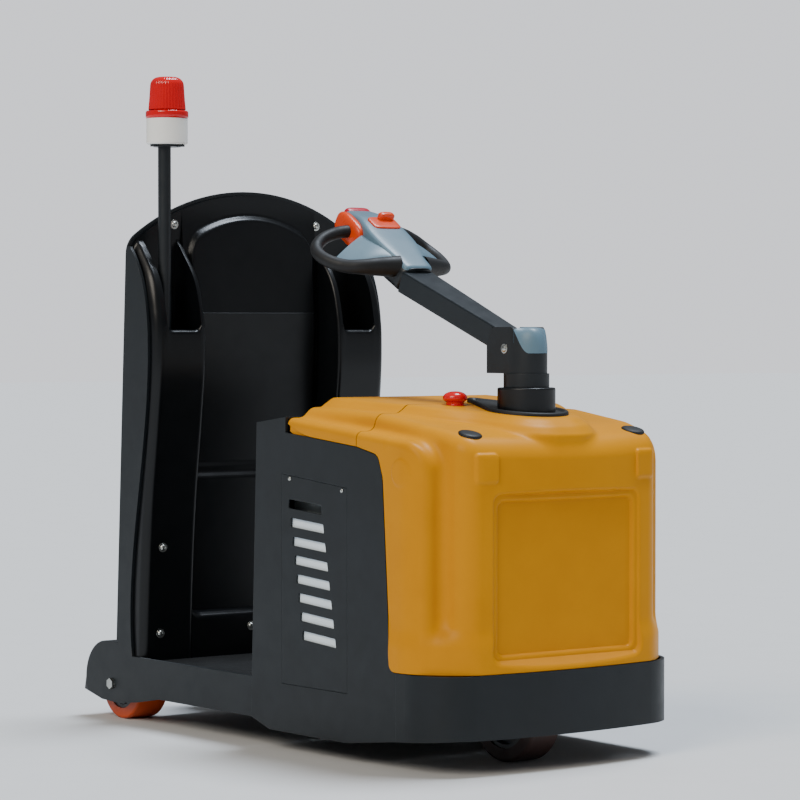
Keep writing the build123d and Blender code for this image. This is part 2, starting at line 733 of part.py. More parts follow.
def hood_shell():
    """The moulded hood, before it is parted into the nose and the battery cover."""
    bow = BLOCK_CROWN * (recess_half / block_half) ** 2
    face_x = FRONT - BLOCK_SETBACK - bow
    wall_half = recess_half + SHEET
    wall_x = face_x - RECESS_DEPTH - SHEET
    wall_low = recess_bottom - SHEET
    wall_behind = block(wall_x, FRONT, -wall_half, wall_half, wall_low, recess_top + SHEET)
    shell = hood_pads(hood_envelope() - (hood_envelope(SHEET) - wall_behind))
    shell -= plate_yz(recess_outline(0), face_x - RECESS_DEPTH / 2, FRONT + 1)
    shell -= plate_yz(recess_outline(RECESS_STEP), face_x - RECESS_DEPTH, FRONT + 1)
    for side in (-1, 1):
        y_low, y_high = sorted((side * (HALF - SHEET), side * (HALF + DISC_HEIGHT - 4)))
        shell += rod_y(FRONT - DISC_SETBACK, wing_nose - DISC_DROP, DISC_R, y_low, y_high)
    shell -= plate_xz(box_outline(PANEL_GAP), -HALF - 5, HALF + 5)
    foot_x = FRONT - EDGE_FOOT_SETBACK
    shell -= block(box_rear, foot_x, -HALF - 5, HALF + 5, 0, SKIRT_TOP + BASE_BAND + BASE_SLOPE_HEIGHT)
    return shell - rod_z(steer_x, 0, COLUMN_R + MOVING_GAP, block_nose - 2 * BLOCK_NOSE_FALL, yoke_top)


def hood():
    """Nose moulding and battery cover, parted by a straight gap across the top."""
    shell = hood_shell()
    ahead = block(split_x + SPLIT_GAP / 2, beyond, -beyond, beyond, 0, beyond)
    behind = block(box_rear, split_x - SPLIT_GAP / 2, -beyond, beyond, 0, beyond)
    return shell & ahead, shell & behind


def hood_caps():
    """Two plugs over the screws that hold the nose."""
    x = FRONT - CAP_SETBACK
    seat = Location((x, CAP_INSET - block_half, top_height(block_line, x)), (0, slope_of(block_line, x), 0))
    cap = fillet(Cylinder(CAP_R, CAP_HEIGHT).edges().group_by(Axis.Z)[-1], 2)
    return pair(seat * Pos(0, 0, CAP_HEIGHT / 2) * cap)


def emergency_stop():
    """Red mushroom button on its short stem."""
    x = split_x + STOP_AHEAD
    seat = Location((x, STOP_Y, top_height(island_line, x)), (0, slope_of(island_line, x), 0))
    stem = rod_z(0, 0, STOP_R - 9, 0, STOP_STEM)
    cap = rod_z(0, 0, STOP_R, STOP_STEM, STOP_STEM + STOP_CAP)
    cap = fillet(cap.edges().group_by(Axis.Z)[-1], STOP_CAP * 0.6)
    return seat * (stem + cap)


def column_gasket():
    """Rubber plate round the column, drawn out to a tail towards the operator."""
    tail_x = steer_x - GASKET_TAIL
    tip = GASKET_R / 5
    plan = Pos(steer_x, 0) * Circle(GASKET_R)
    plan += polygon(
        (steer_x, -GASKET_R), (steer_x, GASKET_R), (tail_x + tip, tip), (tail_x, 0), (tail_x + tip, -tip)
    )
    plan -= Pos(steer_x, 0) * Circle(COLUMN_R + 1)
    under = plate_xz(under_line(island_line), -HALF, HALF)
    lifted = Pos(0, 0, GASKET_HEIGHT) * under
    return plate_xy(plan, SKIRT_TOP, yoke_top) & (lifted - under)


# Backrest, drawn upright and then leaned forward with its frame
back_face = BACK_PLATE + SEAT_GAP
back_top = BACKREST_HEIGHT / math.cos(math.radians(BACK_LEAN))


def back_outline(inset=0, foot=0):
    """Arched outline of the back plate, inset from its edge."""
    half = HALF - inset
    shoulder = back_top - BACK_SHOULDER_DROP - inset * 0.4
    arch = ThreePointArc((-half, shoulder), (0, back_top - inset), (half, shoulder))
    sides = Polyline((half, shoulder), (half, foot), (-half, foot), (-half, shoulder))
    face = make_face(Curve() + [arch, sides])
    return fillet(face.vertices().sort_by(Axis.Y)[-2:], BACK_SHOULDER_R)


def back_plate():
    """Steel plate behind the operator, notched over the rear wheels."""
    plate = plate_yz(back_outline(), 0, BACK_PLATE)
    notch_top = fender_top + MOVING_GAP
    for side in (-1, 1):
        y_low, y_high = sorted((side * (cheek_y - SEAT_GAP), side * (HALF + 1)))
        plate -= block(-1, BACK_PLATE + 1, y_low, y_high, -1, notch_top)
    plate -= block(-1, BACK_PLATE + 1, -HALF, HALF, -1, BACK_FOOT)
    return back_frame * plate


def wing_slab(wall):
    """Wing of the moulding drawn as a slab with a bulged, rounded front, thinner by a wall."""
    outer_y = -plate_y + SEAT_GAP + wall
    inner_y = -wing_inner - wall
    back = back_face + wall
    line = back_profile([extra - wall for extra in WING_BULGE])
    foot_z = floor_under - 2 * wall
    shoulder_z = BACK_FRONT_EDGE[-1][1]
    front_foot = (line @ 0).X
    rest = Polyline(line @ 1, (back, shoulder_z), (back, foot_z), (front_foot, foot_z), line @ 0)
    slab = plate_xz(make_face(Curve() + [line, rest]), outer_y, inner_y)
    fronts = [e for e in slab.edges() if e.geom_type == GeomType.BSPLINE]
    outer = [e for e in fronts if abs(e.center().Y - outer_y) < 1]
    slab = fillet(outer, WING_OUTER_R - wall)
    fronts = [e for e in slab.edges() if abs(e.center().Y - inner_y) < 1]
    inner = [e for e in fronts if e.geom_type == GeomType.BSPLINE]
    return fillet(inner, WING_INNER_R - wall)


def moulding_wing():
    """Right-hand wing of the moulding: a bulged front, a pocket open at the top."""
    outer_y = -plate_y + SEAT_GAP
    solid = wing_slab(0)
    inside = wing_slab(MOULDING_WALL)
    floor = inside & block(0, HALF, -HALF, 0, POCKET_FLOOR - MOULDING_WALL, POCKET_FLOOR)
    back = back_face + MOULDING_WALL
    low_y = outer_y + POCKET_LIP
    high_y = -wing_inner - POCKET_LIP
    mouth = block(back, HALF, low_y, high_y, POCKET_RIM, back_top)
    return solid - inside - mouth + floor


def centre_side(depth, top, wall=0):
    """Side view of the centre panel: upright, then sloping back to the arch."""
    return polygon(
        (back_face, 0),
        (depth - wall, 0),
        (depth - wall, CENTRE_BEND),
        (back_face + CENTRE_RAISE - wall, top),
        (back_face, top),
    )


def centre_face():
    """Front view of the centre panel, arched at the top."""
    top = back_top - CENTRE_TOP_DROP
    spring = top - CENTRE_ARCH
    arch = ThreePointArc((-centre_half, spring), (0, top), (centre_half, spring))
    foot = KICK_TOP - KICK_CHAMFER
    ends = ((centre_half, spring), (centre_half, foot), (-centre_half, foot), (-centre_half, spring))
    return make_face(Curve() + [arch, Polyline(*ends)])


def stepped_foot():
    """Side view of the two steps under the centre panel: the lumbar bar and the kick panel."""
    bar = CENTRE_DEPTH + LUMBAR_RAISE
    return polygon(
        (back_face, floor_under),
        (KICK_DEPTH, floor_under),
        (KICK_DEPTH, KICK_TOP - KICK_CHAMFER),
        (KICK_DEPTH - KICK_CHAMFER, KICK_TOP),
        (bar, KICK_TOP),
        (bar, LUMBAR_TOP - LUMBAR_CHAMFER),
        (bar - LUMBAR_CHAMFER, LUMBAR_TOP),
        (back_face, LUMBAR_TOP),
    )


def backrest_moulding():
    """One black moulding: arched flange, raised centre, two pocketed wings and a stepped foot."""
    bed_depth = CENTRE_DEPTH - CENTRE_RAISE
    centre_top = back_top - CENTRE_TOP_DROP
    margin = MOULDING_MARGIN
    flange = plate_yz(back_outline(margin, floor_under), back_face, back_face + MOULDING_WALL)
    bed = plate_yz(back_outline(margin + 2, floor_under), back_face, bed_depth)
    bed = bed & plate_xz(centre_side(bed_depth, centre_top + CENTRE_ARCH / 2), -wing_inner, wing_inner)
    raised = plate_yz(centre_face(), back_face, CENTRE_DEPTH)
    raised = raised & plate_xz(centre_side(CENTRE_DEPTH, centre_top), -HALF, HALF)
    steps = plate_xz(stepped_foot(), -wing_inner, wing_inner)
    inner_half = wing_inner - MOULDING_WALL
    hollow = centre_side(bed_depth, centre_top - CENTRE_ARCH / 2, MOULDING_WALL)
    inside = plate_xz(hollow, -inner_half, inner_half)
    kick_depth = KICK_DEPTH - MOULDING_WALL
    kick_top = KICK_TOP - KICK_CHAMFER
    inside += block(back_face, kick_depth, -inner_half, inner_half, 0, kick_top - MOULDING_WALL)
    wing = moulding_wing()
    shell = back_frame * (flange + bed + raised + steps - inside + wing + mirrored(wing))
    shell -= block(REAR, 0, -HALF, HALF, 0, floor_top + SEAT_GAP)
    wall_x = (back_frame * Pos(back_face + MOULDING_WALL + SEAT_GAP, 0, fender_top)).position.X
    for side in (-1, 1):
        low, high = sorted((side * (cheek_y - SEAT_GAP), side * (plate_y - SEAT_GAP - MOULDING_WALL)))
        shell -= block(REAR, wall_x, low, high, 0, fender_top + MOVING_GAP)
    return shell


# Warning beacon
pole_place = back_frame * Pos(POLE_DEPTH, POLE_INSET - plate_y, POCKET_FLOOR)
pole_x, pole_y, pole_foot = pole_place.position


def beacon():
    """Upright pole from the pocket's floor, a bracket, a white base and a ribbed red lens."""
    foot = pole_foot + POLE_R * math.tan(math.radians(BACK_LEAN)) + SEAT_GAP
    pole = rod_z(pole_x, pole_y, POLE_R, foot, POLE_TOP)
    lamp_y = pole_y + BEACON_SHIFT
    base_z = POLE_TOP + BRACKET_THICKNESS
    bracket = rod_z(pole_x, lamp_y, BRACKET_R, POLE_TOP, base_z)
    for angle in (30, 150, 270):
        arm = Rot(0, 0, angle) * Pos(BRACKET_R - 6, 0, 0) * Box(BRACKET_R, 14, BRACKET_THICKNESS)
        bracket += Pos(pole_x, lamp_y, POLE_TOP + BRACKET_THICKNESS / 2) * arm
    lens_z = base_z + BEACON_BASE_HEIGHT
    base = rod_z(pole_x, lamp_y, BEACON_R, base_z, lens_z)
    base = fillet(base.edges().group_by(Axis.Z)[0], 5)
    ring_z = lens_z + BEACON_RING_HEIGHT
    ring = rod_z(pole_x, lamp_y, BEACON_R + 2, lens_z, ring_z)
    ring = fillet(ring.edges().filter_by(GeomType.CIRCLE), 4)
    dome = Pos(pole_x, lamp_y, ring_z + BEACON_LENS_HEIGHT / 2)
    dome = dome * Cone(BEACON_R - 4, BEACON_R - 9, BEACON_LENS_HEIGHT)
    dome = fillet(dome.edges().group_by(Axis.Z)[-1], 22)
    return pole, bracket, base, ring + dome


# Tow coupling on the back plate
hitch_face = back_frame * Pos(-HITCH_BASE, 0, HITCH_HEIGHT)
hitch_x = hitch_face.position.X
hitch_tip = hitch_x - HITCH_REACH
hitch_pin_x = hitch_tip + HITCH_PIN_SET
jaw_low = HITCH_HEIGHT - HITCH_GAP / 2 - HITCH_PLATE
jaw_top = HITCH_HEIGHT + HITCH_GAP / 2 + HITCH_PLATE


def tow_hitch():
    """Base plate on the back plate and two level jaws with a hole for the drop pin."""
    outline = Pos(0, HITCH_HEIGHT) * RectangleRounded(HITCH_BASE_SIZE, HITCH_BASE_SIZE, 12)
    base = back_frame * plate_yz(outline, -HITCH_BASE, 0)
    half = HITCH_WIDTH / 2
    root = hitch_x + HITCH_BASE
    jaw = polygon(
        (root, -half),
        (root, half),
        (hitch_tip + HITCH_PIN_SET, half),
        (hitch_tip, half / 2),
        (hitch_tip, -half / 2),
        (hitch_tip + HITCH_PIN_SET, -half),
    )
    jaws = plate_xy(jaw, jaw_low, jaw_low + HITCH_PLATE) + plate_xy(jaw, jaw_top - HITCH_PLATE, jaw_top)
    jaws -= back_frame * block(-HITCH_BASE / 2, HALF, -HALF, HALF, 0, BACKREST_HEIGHT)
    return base + jaws - rod_z(hitch_pin_x, 0, HITCH_PIN_R + PIN_GAP, jaw_low - 1, jaw_top + 1)


def hitch_pin():
    """Drop pin with a collar that rests on the upper jaw and a ring of bar to pull it by."""
    collar_top = jaw_top + 10
    pin = rod_z(hitch_pin_x, 0, HITCH_PIN_R, jaw_low - HITCH_PLATE, jaw_top + SEAT_GAP)
    collar = rod_z(hitch_pin_x, 0, HITCH_PIN_R + 8, jaw_top + SEAT_GAP, collar_top)
    ring = Pos(hitch_pin_x, 0, collar_top + HITCH_RING_R) * Rot(90, 0, 0) * Torus(HITCH_RING_R, 5)
    return pin + collar + ring


# Drive unit, column and tiller
def drive_unit():
    """Fixed mounting plate, and the turntable, gear case, motor and shaft that turn in it."""
    mount_rear = split_x + 20
    mount_top = TURNTABLE_Z + MOUNT_PLATE
    rim = TURNTABLE_R + MOUNT_RIM
    mount = block(mount_rear, steer_x - TURNTABLE_R / 2, -plate_y, plate_y, TURNTABLE_Z, mount_top)
    mount += block(mount_rear, steer_x + rim, -rim, rim, TURNTABLE_Z, mount_top)
    mount -= rod_z(steer_x, 0, TURNTABLE_R + SEAT_GAP, TURNTABLE_Z - 1, mount_top + 1)
    case_y = drive_y + DRIVE_WHEEL_WIDTH / 2 + DRIVE_CASE_GAP
    table_low = TURNTABLE_Z - TURNTABLE_DROP
    motor_foot = table_low + TURNTABLE_HEIGHT
    turntable = rod_z(steer_x, 0, TURNTABLE_R, table_low, motor_foot)
    cheek_r = DRIVE_RIM_R * 0.74
    drop = table_low + 4 - DRIVE_WHEEL_R
    cheek = Pos(drive_x, DRIVE_WHEEL_R) * Circle(cheek_r)
    cheek += Pos(drive_x, DRIVE_WHEEL_R + drop / 2) * Rectangle(2 * cheek_r, drop)
    cheek = plate_xz(cheek, case_y, case_y + DRIVE_CASE_WIDTH)
    stub_end = drive_y - DRIVE_WHEEL_WIDTH / 2 - MOVING_GAP
    stub = rod_y(drive_x, DRIVE_WHEEL_R, DRIVE_AXLE_R, stub_end, case_y)
    motor_top = motor_foot + MOTOR_HEIGHT
    motor = rod_z(steer_x, 0, MOTOR_R, motor_foot, motor_top)
    motor = fillet(motor.edges().group_by(Axis.Z)[-1], 10)
    shaft = rod_z(steer_x, 0, SHAFT_R, motor_top, column_foot_z)
    return mount, turntable + cheek + stub, motor, shaft


def drive_wheel():
    """Steered and driven wheel: hub and tyre."""
    low = drive_y - DRIVE_WHEEL_WIDTH / 2
    high = drive_y + DRIVE_WHEEL_WIDTH / 2
    tyre = rod_y(drive_x, DRIVE_WHEEL_R, DRIVE_WHEEL_R, low, high)
    tyre = fillet(tyre.edges().filter_by(GeomType.CIRCLE), 7)
    tyre -= rod_y(drive_x, DRIVE_WHEEL_R, DRIVE_RIM_R, low - 1, high + 1)
    hub = rod_y(drive_x, DRIVE_WHEEL_R, DRIVE_RIM_R, low + 5, high - 5)
    hub -= rod_y(drive_x, DRIVE_WHEEL_R, DRIVE_RIM_R - HUB_WALL, low + 4, low + HUB_DISH)
    hub += rod_y(drive_x, DRIVE_WHEEL_R, DRIVE_AXLE_R + 18, low + 5, high)
    hub -= rod_y(drive_x, DRIVE_WHEEL_R, DRIVE_AXLE_R + RUNNING_GAP, low - 1, high + 1)
    return tyre, hub


def column():
    """Round foot of the tiller column and the neck above it."""
    foot = rod_z(steer_x, 0, COLUMN_R, column_foot_z, column_top)
    foot = fillet(foot.edges().group_by(Axis.Z)[-1], 4)
    neck = rod_z(steer_x, 0, NECK_R, column_top, neck_top)
    return foot, neck


def yoke():
    """Fork that the tiller arm hinges in: two cheeks joined by a rounded nose."""
    rear = steer_x - YOKE_REAR
    front = steer_x + YOKE_FRONT
    half = YOKE_WIDTH / 2
    outline = polygon(
        (rear, neck_top),
        (front, neck_top),
        (front, yoke_top),
        (rear + YOKE_REAR / 4, yoke_top),
        (rear, pivot_z + PIVOT_R),
    )
    nose = outline.vertices().sort_by_distance((front, yoke_top))[0]
    body = plate_xz(fillet(nose, YOKE_NOSE_R), -half, half)
    slot_half = half - YOKE_CHEEK
    slot_front = pivot_x + ARM_HEIGHT / 2 + MOVING_GAP
    body -= block(rear - 1, slot_front, -slot_half, slot_half, neck_top + YOKE_FLOOR, yoke_top + 1)
    return body - rod_y(pivot_x, pivot_z, PIVOT_R, -half - 1, half + 1)


def pivot_bolt():
    """Hinge bolt across the yoke."""
    half = YOKE_WIDTH / 2
    bolt = rod_y(pivot_x, pivot_z, PIVOT_R, -half, half)
    bolt += rod_y(pivot_x, pivot_z, PIVOT_R + 5, -half - 5, -half)
    return bolt + rod_y(pivot_x, pivot_z, PIVOT_R + 5, half, half + 5)


def tiller_arm():
    """Box-section arm, wider at the handle, round at the hinge."""
    hinge_half = YOKE_WIDTH / 2 - YOKE_CHEEK - ARM_SIDE_GAP
    plan = polygon(
        (0, -hinge_half),
        (-YOKE_REAR, -hinge_half),
        (-ARM_LENGTH, -ARM_WIDTH_HEAD / 2),
        (-ARM_LENGTH, ARM_WIDTH_HEAD / 2),
        (-YOKE_REAR, hinge_half),
        (0, hinge_half),
    )
    bar = plate_xy(plan, -ARM_HEIGHT / 2, ARM_HEIGHT / 2)
    bar = fillet(bar.edges().filter_by(Plane.XY).group_by(Axis.X)[1:-1], 4)
    bar += rod_y(0, 0, ARM_HEIGHT / 2, -hinge_half, hinge_half)
    bar -= rod_y(0, 0, PIVOT_R + RUNNING_GAP, -hinge_half - 1, hinge_half + 1)
    return tiller_frame * bar


def head_housing():
    """Handle housing: a flared neck, a broad middle and a narrow nose, tipped up from the arm."""
    start = -ARM_LENGTH
    end = start - HEAD_LENGTH
    rise = HEAD_LENGTH * head_slope
    low = -ARM_HEIGHT / 2 - 4
    side = polygon(
        (start, low),
        (start, low + HEAD_HEIGHT),
        (end + 14, low + HEAD_HEIGHT + rise),
        (end, low + HEAD_HEIGHT + rise - 20),
        (end + 6, low + rise + 14),
        (end + 60, low + rise - 18),
    )
    half_plan = (
        (start, ARM_WIDTH_HEAD / 2 + 3),
        (start - 0.22 * HEAD_LENGTH, 0.84 * HEAD_HALF),
        (start - 0.48 * HEAD_LENGTH, HEAD_HALF),
        (start - 0.65 * HEAD_LENGTH, NOSE_HALF + 8),
        (end, NOSE_HALF),
    )
    plan = polygon(*half_plan, *[(x, -y) for x, y in reversed(half_plan)])
    plan = fillet(plan.vertices().sort_by(Axis.X)[2:-2], 14)
    return plate_xz(side, -HALF, HALF) & plate_xy(plan, -HEAD_HEIGHT, 4 * HEAD_HEIGHT)


def grip_loop():
    """Right-hand closed grip, a bent tube from the neck round to the nose."""
    path = FilletPolyline(
        (-14, -30),
        (-40, -0.5 * GRIP_REACH),
        (-120, -GRIP_REACH),
        (-214, -GRIP_REACH + 14),
        (-HEAD_LENGTH + 6, -NOSE_HALF - 30),
        (-HEAD_LENGTH + 40, -NOSE_HALF + 10),
        radius=[40, 44, 34, 28],
    )
    section = Plane(origin=path @ 0, z_dir=path % 0) * Circle(GRIP_R)
    return head_plane * sweep(section, path)


def butterfly():
    """Right-hand thumb wheel of the speed control, a rounded wing on a cross shaft."""
    x = BUTTERFLY_R - HEAD_LENGTH
    outline = Pos(x, 30) * RectangleRounded(1.9 * BUTTERFLY_R, 1.7 * BUTTERFLY_R, 0.7 * BUTTERFLY_R)
    inner_y = -NOSE_HALF - BUTTERFLY_GAP
    body = plate_xz(outline, inner_y - BUTTERFLY_WIDTH, inner_y)
    rims = body.edges().group_by(Axis.Y)
    return head_plane * fillet(rims[0] + rims[-1], BUTTERFLY_WIDTH / 4)


def belly_button():
    """Red safety button across the end of the nose."""
    x = -HEAD_LENGTH - 2
    half = NOSE_HALF - 6
    button = block(x - 16, x + 20, -half, half, 8, 44)
    return head_plane * fillet(button.edges().group_by(Axis.X)[0], 8)


def thumb_switches():
    """Orange rocker plate on top of the head."""
    z = HEAD_HEIGHT - ARM_HEIGHT / 2
    x = -0.65 * HEAD_LENGTH
    plate = block(x - 27, x + 27, -26, 26, z - 4, z + 6)
    rocker = fillet(block(x - 11, x + 11, -22, 22, z + 6, z + 20).edges().filter_by(Axis.Y), 5)
    return head_plane * (plate + rocker)


def tiller_head():
    """Housing, grips and controls, each trimmed to what it is seated on."""
    housing = tiller_frame * head_housing()
    arm = parts["tiller_arm"]
    butterfly_right = tiller_frame * butterfly()
    butterflies = [butterfly_right - housing, mirrored(butterfly_right) - housing]
    button = tiller_frame * belly_button() - housing
    switches = tiller_frame * thumb_switches() - housing
    right_loop = tiller_frame * grip_loop()
    loops = []
    for loop, wing in zip((right_loop, mirrored(right_loop)), butterflies):
        loops.append(loop - housing - wing - arm)
    return housing, loops, butterflies, button, switches


def build():
    """Makes every part and writes one STEP file for each."""
    parts["box_sides"] = pair(box_side())
    parts["access_panels"] = pair(access_panel())
    parts["side_plates"] = pair(side_plate())
    parts["wheel_housings"] = pair(wheel_housing())
    parts["rear_axles"] = pair(rear_axle())
    parts["rear_tyre_right"], parts["rear_hub_right"] = rear_wheel()
    parts["rear_tyre_left"] = mirrored(parts["rear_tyre_right"])
    parts["rear_hub_left"] = mirrored(parts["rear_hub_right"])
    parts["front_skirt"] = front_skirt()
    parts["bulkhead"] = bulkhead()
    parts["platform_floor"], parts["floor_mat"] = platform()
    parts["belly_plate"] = belly_plate()
    parts["battery"] = battery()
    parts["hood_nose"], parts["battery_cover"] = hood()
    parts["hood_caps"] = hood_caps()
    parts["emergency_stop"] = emergency_stop()
    parts["column_gasket"] = column_gasket()
    parts["back_plate"] = back_plate()
    parts["backrest_moulding"] = backrest_moulding()
    pole, bracket, base, lens = beacon()
    parts["beacon_pole"] = pole
    parts["beacon_bracket"] = bracket
    parts["beacon_base"] = base
    parts["beacon_lens"] = lens
    parts["tow_hitch"] = tow_hitch()
    parts["hitch_pin"] = hitch_pin()
    mount, case, motor, shaft = drive_unit()
    parts["drive_mount"] = mount
    parts["drive_case"] = case
    parts["drive_motor"] = motor
    parts["steering_shaft"] = shaft
    parts["drive_tyre"], parts["drive_hub"] = drive_wheel()
    parts["column_foot"], parts["column_neck"] = column()
    parts["tiller_yoke"] = yoke()
    parts["pivot_bolt"] = pivot_bolt()
    parts["tiller_arm"] = tiller_arm()
    housing, loops, butterflies, button, switches = tiller_head()
    parts["head_housing"] = housing
    parts["grips"] = Compound([solid for loop in loops for solid in loop.solids()])
    parts["butterflies"] = Compound([solid for wing in butterflies for solid in wing.solids()])
    parts["belly_button"] = button
    parts["thumb_switches"] = switches
    os.makedirs("parts", exist_ok=True)
    for name, shape in parts.items():
        export_step(shape, f"parts/{name}.step")


build()
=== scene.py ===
import math

import bmesh
import bpy
import numpy as np
from mathutils import Matrix, Vector


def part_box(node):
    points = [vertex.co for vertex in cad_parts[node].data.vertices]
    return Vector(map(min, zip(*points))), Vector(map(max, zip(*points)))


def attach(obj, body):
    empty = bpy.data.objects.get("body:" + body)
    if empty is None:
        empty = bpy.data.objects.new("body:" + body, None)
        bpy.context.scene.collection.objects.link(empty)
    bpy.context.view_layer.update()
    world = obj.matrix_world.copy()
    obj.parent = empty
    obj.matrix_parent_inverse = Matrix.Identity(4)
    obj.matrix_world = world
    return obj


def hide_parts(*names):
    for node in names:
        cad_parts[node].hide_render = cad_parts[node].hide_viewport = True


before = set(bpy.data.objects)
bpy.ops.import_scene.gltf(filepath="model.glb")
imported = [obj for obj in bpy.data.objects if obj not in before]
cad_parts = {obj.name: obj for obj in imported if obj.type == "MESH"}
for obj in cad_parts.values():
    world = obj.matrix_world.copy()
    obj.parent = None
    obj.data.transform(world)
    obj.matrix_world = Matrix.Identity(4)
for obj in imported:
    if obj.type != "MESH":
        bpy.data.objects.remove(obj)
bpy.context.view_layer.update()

# Battery box, skirt, bulkhead, floor and back plate: laser-cut steel plate, folded and welded,
# then powder coated charcoal in one go. The coat is satin, with the faint orange peel of baked
# powder. Its sharp edges are painted pale, partly as a thin rub where they have been knocked and partly as a
# painted highlight.


def linear(code):
    """sRGB hex code as linear red, green, blue and alpha."""
    value = np.array([int(code[i : i + 2], 16) for i in (1, 3, 5)]) / 255
    curve = np.where(value <= 0.04045, value / 12.92, ((value + 0.055) / 1.055) ** 2.4)
    return (*curve.tolist(), 1.0)


def add(tree, kind, settings=None, **sockets):
    """Adds a shader node, sets its properties, and links or sets the sockets named (or in_ and a number)."""
    node = tree.nodes.new("ShaderNode" + kind)
    for name, value in (settings or {}).items():
        setattr(node, name, value)
    for name, value in sockets.items():
        socket = node.inputs[int(name[3:]) if name.startswith("in_") else name.replace("_", " ")]
        if isinstance(value, bpy.types.NodeSocket):
            tree.links.new(value, socket)
        else:
            socket.default_value = value
    return node


def finish(name, colour, worn, roughness, spread, grain_mm, relief_mm,
           edge_mm=0.0, edge_rub_and_highlight=None, shine=0.5):
    """A solid finish: slow clouds from colour to worn, gloss that wanders by spread, and a grain in relief.

    edge_mm rounds the sharp edges of a plain solid in the shading, and an edge colour, if given, paints them
    pale, partly as paint rubbed thin and partly as a painted highlight. shine is the strength of the
    surface's own mirror light, 0.5 for a clean dielectric and less for a dull one."""
    cloud_mm, smear_mm = 170, 38
    material = bpy.data.materials.new(name)
    material.use_nodes = True
    tree = material.node_tree
    shader = tree.nodes["Principled BSDF"]
    shader.inputs["Specular IOR Level"].default_value = shine
    place = add(tree, "TexCoord").outputs["Object"]
    cloud = add(tree, "TexNoise", Vector=place, Scale=1000 / cloud_mm, Detail=5.0, Roughness=0.6)
    share = add(tree, "MapRange", Value=cloud.outputs[0], From_Min=0.42, From_Max=0.72)
    base = add(tree, "Mix", {"data_type": "RGBA"}, in_0=share.outputs[0], in_6=linear(colour),
               in_7=linear(worn))
    smear = add(tree, "TexNoise", Vector=place, Scale=1000 / smear_mm, Detail=6.0, Roughness=0.65)
    gloss = add(tree, "MapRange", Value=smear.outputs[0], From_Min=0.3, From_Max=0.7,
                To_Min=roughness - spread, To_Max=roughness + spread)
    grain = add(tree, "TexNoise", Vector=place, Scale=1000 / grain_mm, Detail=3.0)
    relief = add(tree, "Bump", Height=grain.outputs[0], Distance=relief_mm / 1000, Strength=1.0)
    shade = base.outputs[2]
    if edge_mm:
        rounded = add(tree, "Bevel", {"samples": 6}, Radius=edge_mm / 1000)
        tree.links.new(rounded.outputs[0], relief.inputs["Normal"])
        # Sharp edges are painted pale, partly as paint rubbed thin and partly as a painted highlight.
        if edge_rub_and_highlight:
            flat = add(tree, "NewGeometry").outputs["Normal"]
            turn = add(tree, "VectorMath", {"operation": "DOT_PRODUCT"}, in_0=rounded.outputs[0], in_1=flat)
            edge_rub_and_highlight_mask = add(tree, "MapRange", Value=turn.outputs["Value"], From_Min=0.97, From_Max=0.80)
            patch = add(tree, "Math", {"operation": "MULTIPLY"}, in_0=edge_rub_and_highlight_mask.outputs[0], in_1=smear.outputs[0])
            edged = add(tree, "Mix", {"data_type": "RGBA"}, in_0=patch.outputs[0], in_6=shade,
                        in_7=linear(edge_rub_and_highlight))
            shade = edged.outputs[2]
    tree.links.new(shade, shader.inputs["Base Color"])
    tree.links.new(gloss.outputs[0], shader.inputs["Roughness"])
    tree.links.new(relief.outputs[0], shader.inputs["Normal"])
    return material


def dress(material, *nodes):
    """Gives solids of the frame their finish."""
    for node in nodes:
        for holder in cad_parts[node].material_slots:
            holder.material = material


# Satin charcoal: a soft sheen that breaks up a little; the peel is 2 mm across, drawn at 5 mm to show.
# Its edges are painted pale, partly as rubbed paint and partly as a painted highlight.
charcoal_paint = finish("charcoal_powder_coat", "#13181B", "#171C20", 0.42, 0.05,
                        grain_mm=5.0, relief_mm=0.05, edge_mm=1.6, edge_rub_and_highlight="#3C454A", shine=0.3)
dress(charcoal_paint, "box_sides", "access_panels", "wheel_housings", "front_skirt", "bulkhead",
      "platform_floor", "belly_plate", "back_plate", "drive_mount")

# Side plates: one laser-cut plate a side for the sill, the fender and the backrest's edge. Beside the rear
# wheel the plate ends in a long shallow edge above the floor, so that the tyre shows below it. The solid's
# plate has a full round lobe there, and a copy of it is cut off along that edge.


def fixed(mesh, work, material, body, crease, stands_for=()):
    """Turns the faces of work outward and puts them in the mesh, shaded smooth up to the crease angle.

    The mesh becomes an object of its own name with a finish, fixed to its body."""
    bmesh.ops.recalc_face_normals(work, faces=work.faces)
    work.to_mesh(mesh)
    work.free()
    mesh.shade_smooth()
    mesh.set_sharp_from_angle(angle=math.radians(crease))
    mesh.materials.append(material)
    item = bpy.data.objects.new(mesh.name, mesh)
    bpy.context.scene.collection.objects.link(item)
    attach(item, body)
    if stands_for:
        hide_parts(*stands_for)


fender_edge = [(-0.745, 0.066), (-0.662, 0.047), (-0.58, 0.044)]
plates = bmesh.new()
plates.from_mesh(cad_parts["side_plates"].data)
bmesh.ops.remove_doubles(plates, verts=plates.verts, dist=1e-6)
for (x0, z0), (x1, z1) in zip(fender_edge, fender_edge[1:]):
    whole = plates.verts[:] + plates.edges[:] + plates.faces[:]
    cut = bmesh.ops.bisect_plane(plates, geom=whole, plane_co=(x0, 0, z0), plane_no=(z1 - z0, 0, x0 - x1),
                                 clear_outer=True)
    open_edges = [e for e in cut["geom_cut"] if isinstance(e, bmesh.types.BMEdge)]
    bmesh.ops.holes_fill(plates, edges=open_edges, sides=0)
fixed(bpy.data.meshes.new("side_plates_cut"), plates, charcoal_paint, "chassis", 30,
      ["side_plates"])

# Battery: the tray of cells behind the louvred panels, in a pale polypropylene case.
# It shows only as slivers of light grey through the slots.
battery_case = finish("moulded_polypropylene_pale", "#C9CFD0", "#B9BFC1", 0.5, 0.08,
                      grain_mm=3.0, relief_mm=0.05, edge_mm=6.0)
dress(battery_case, "battery")
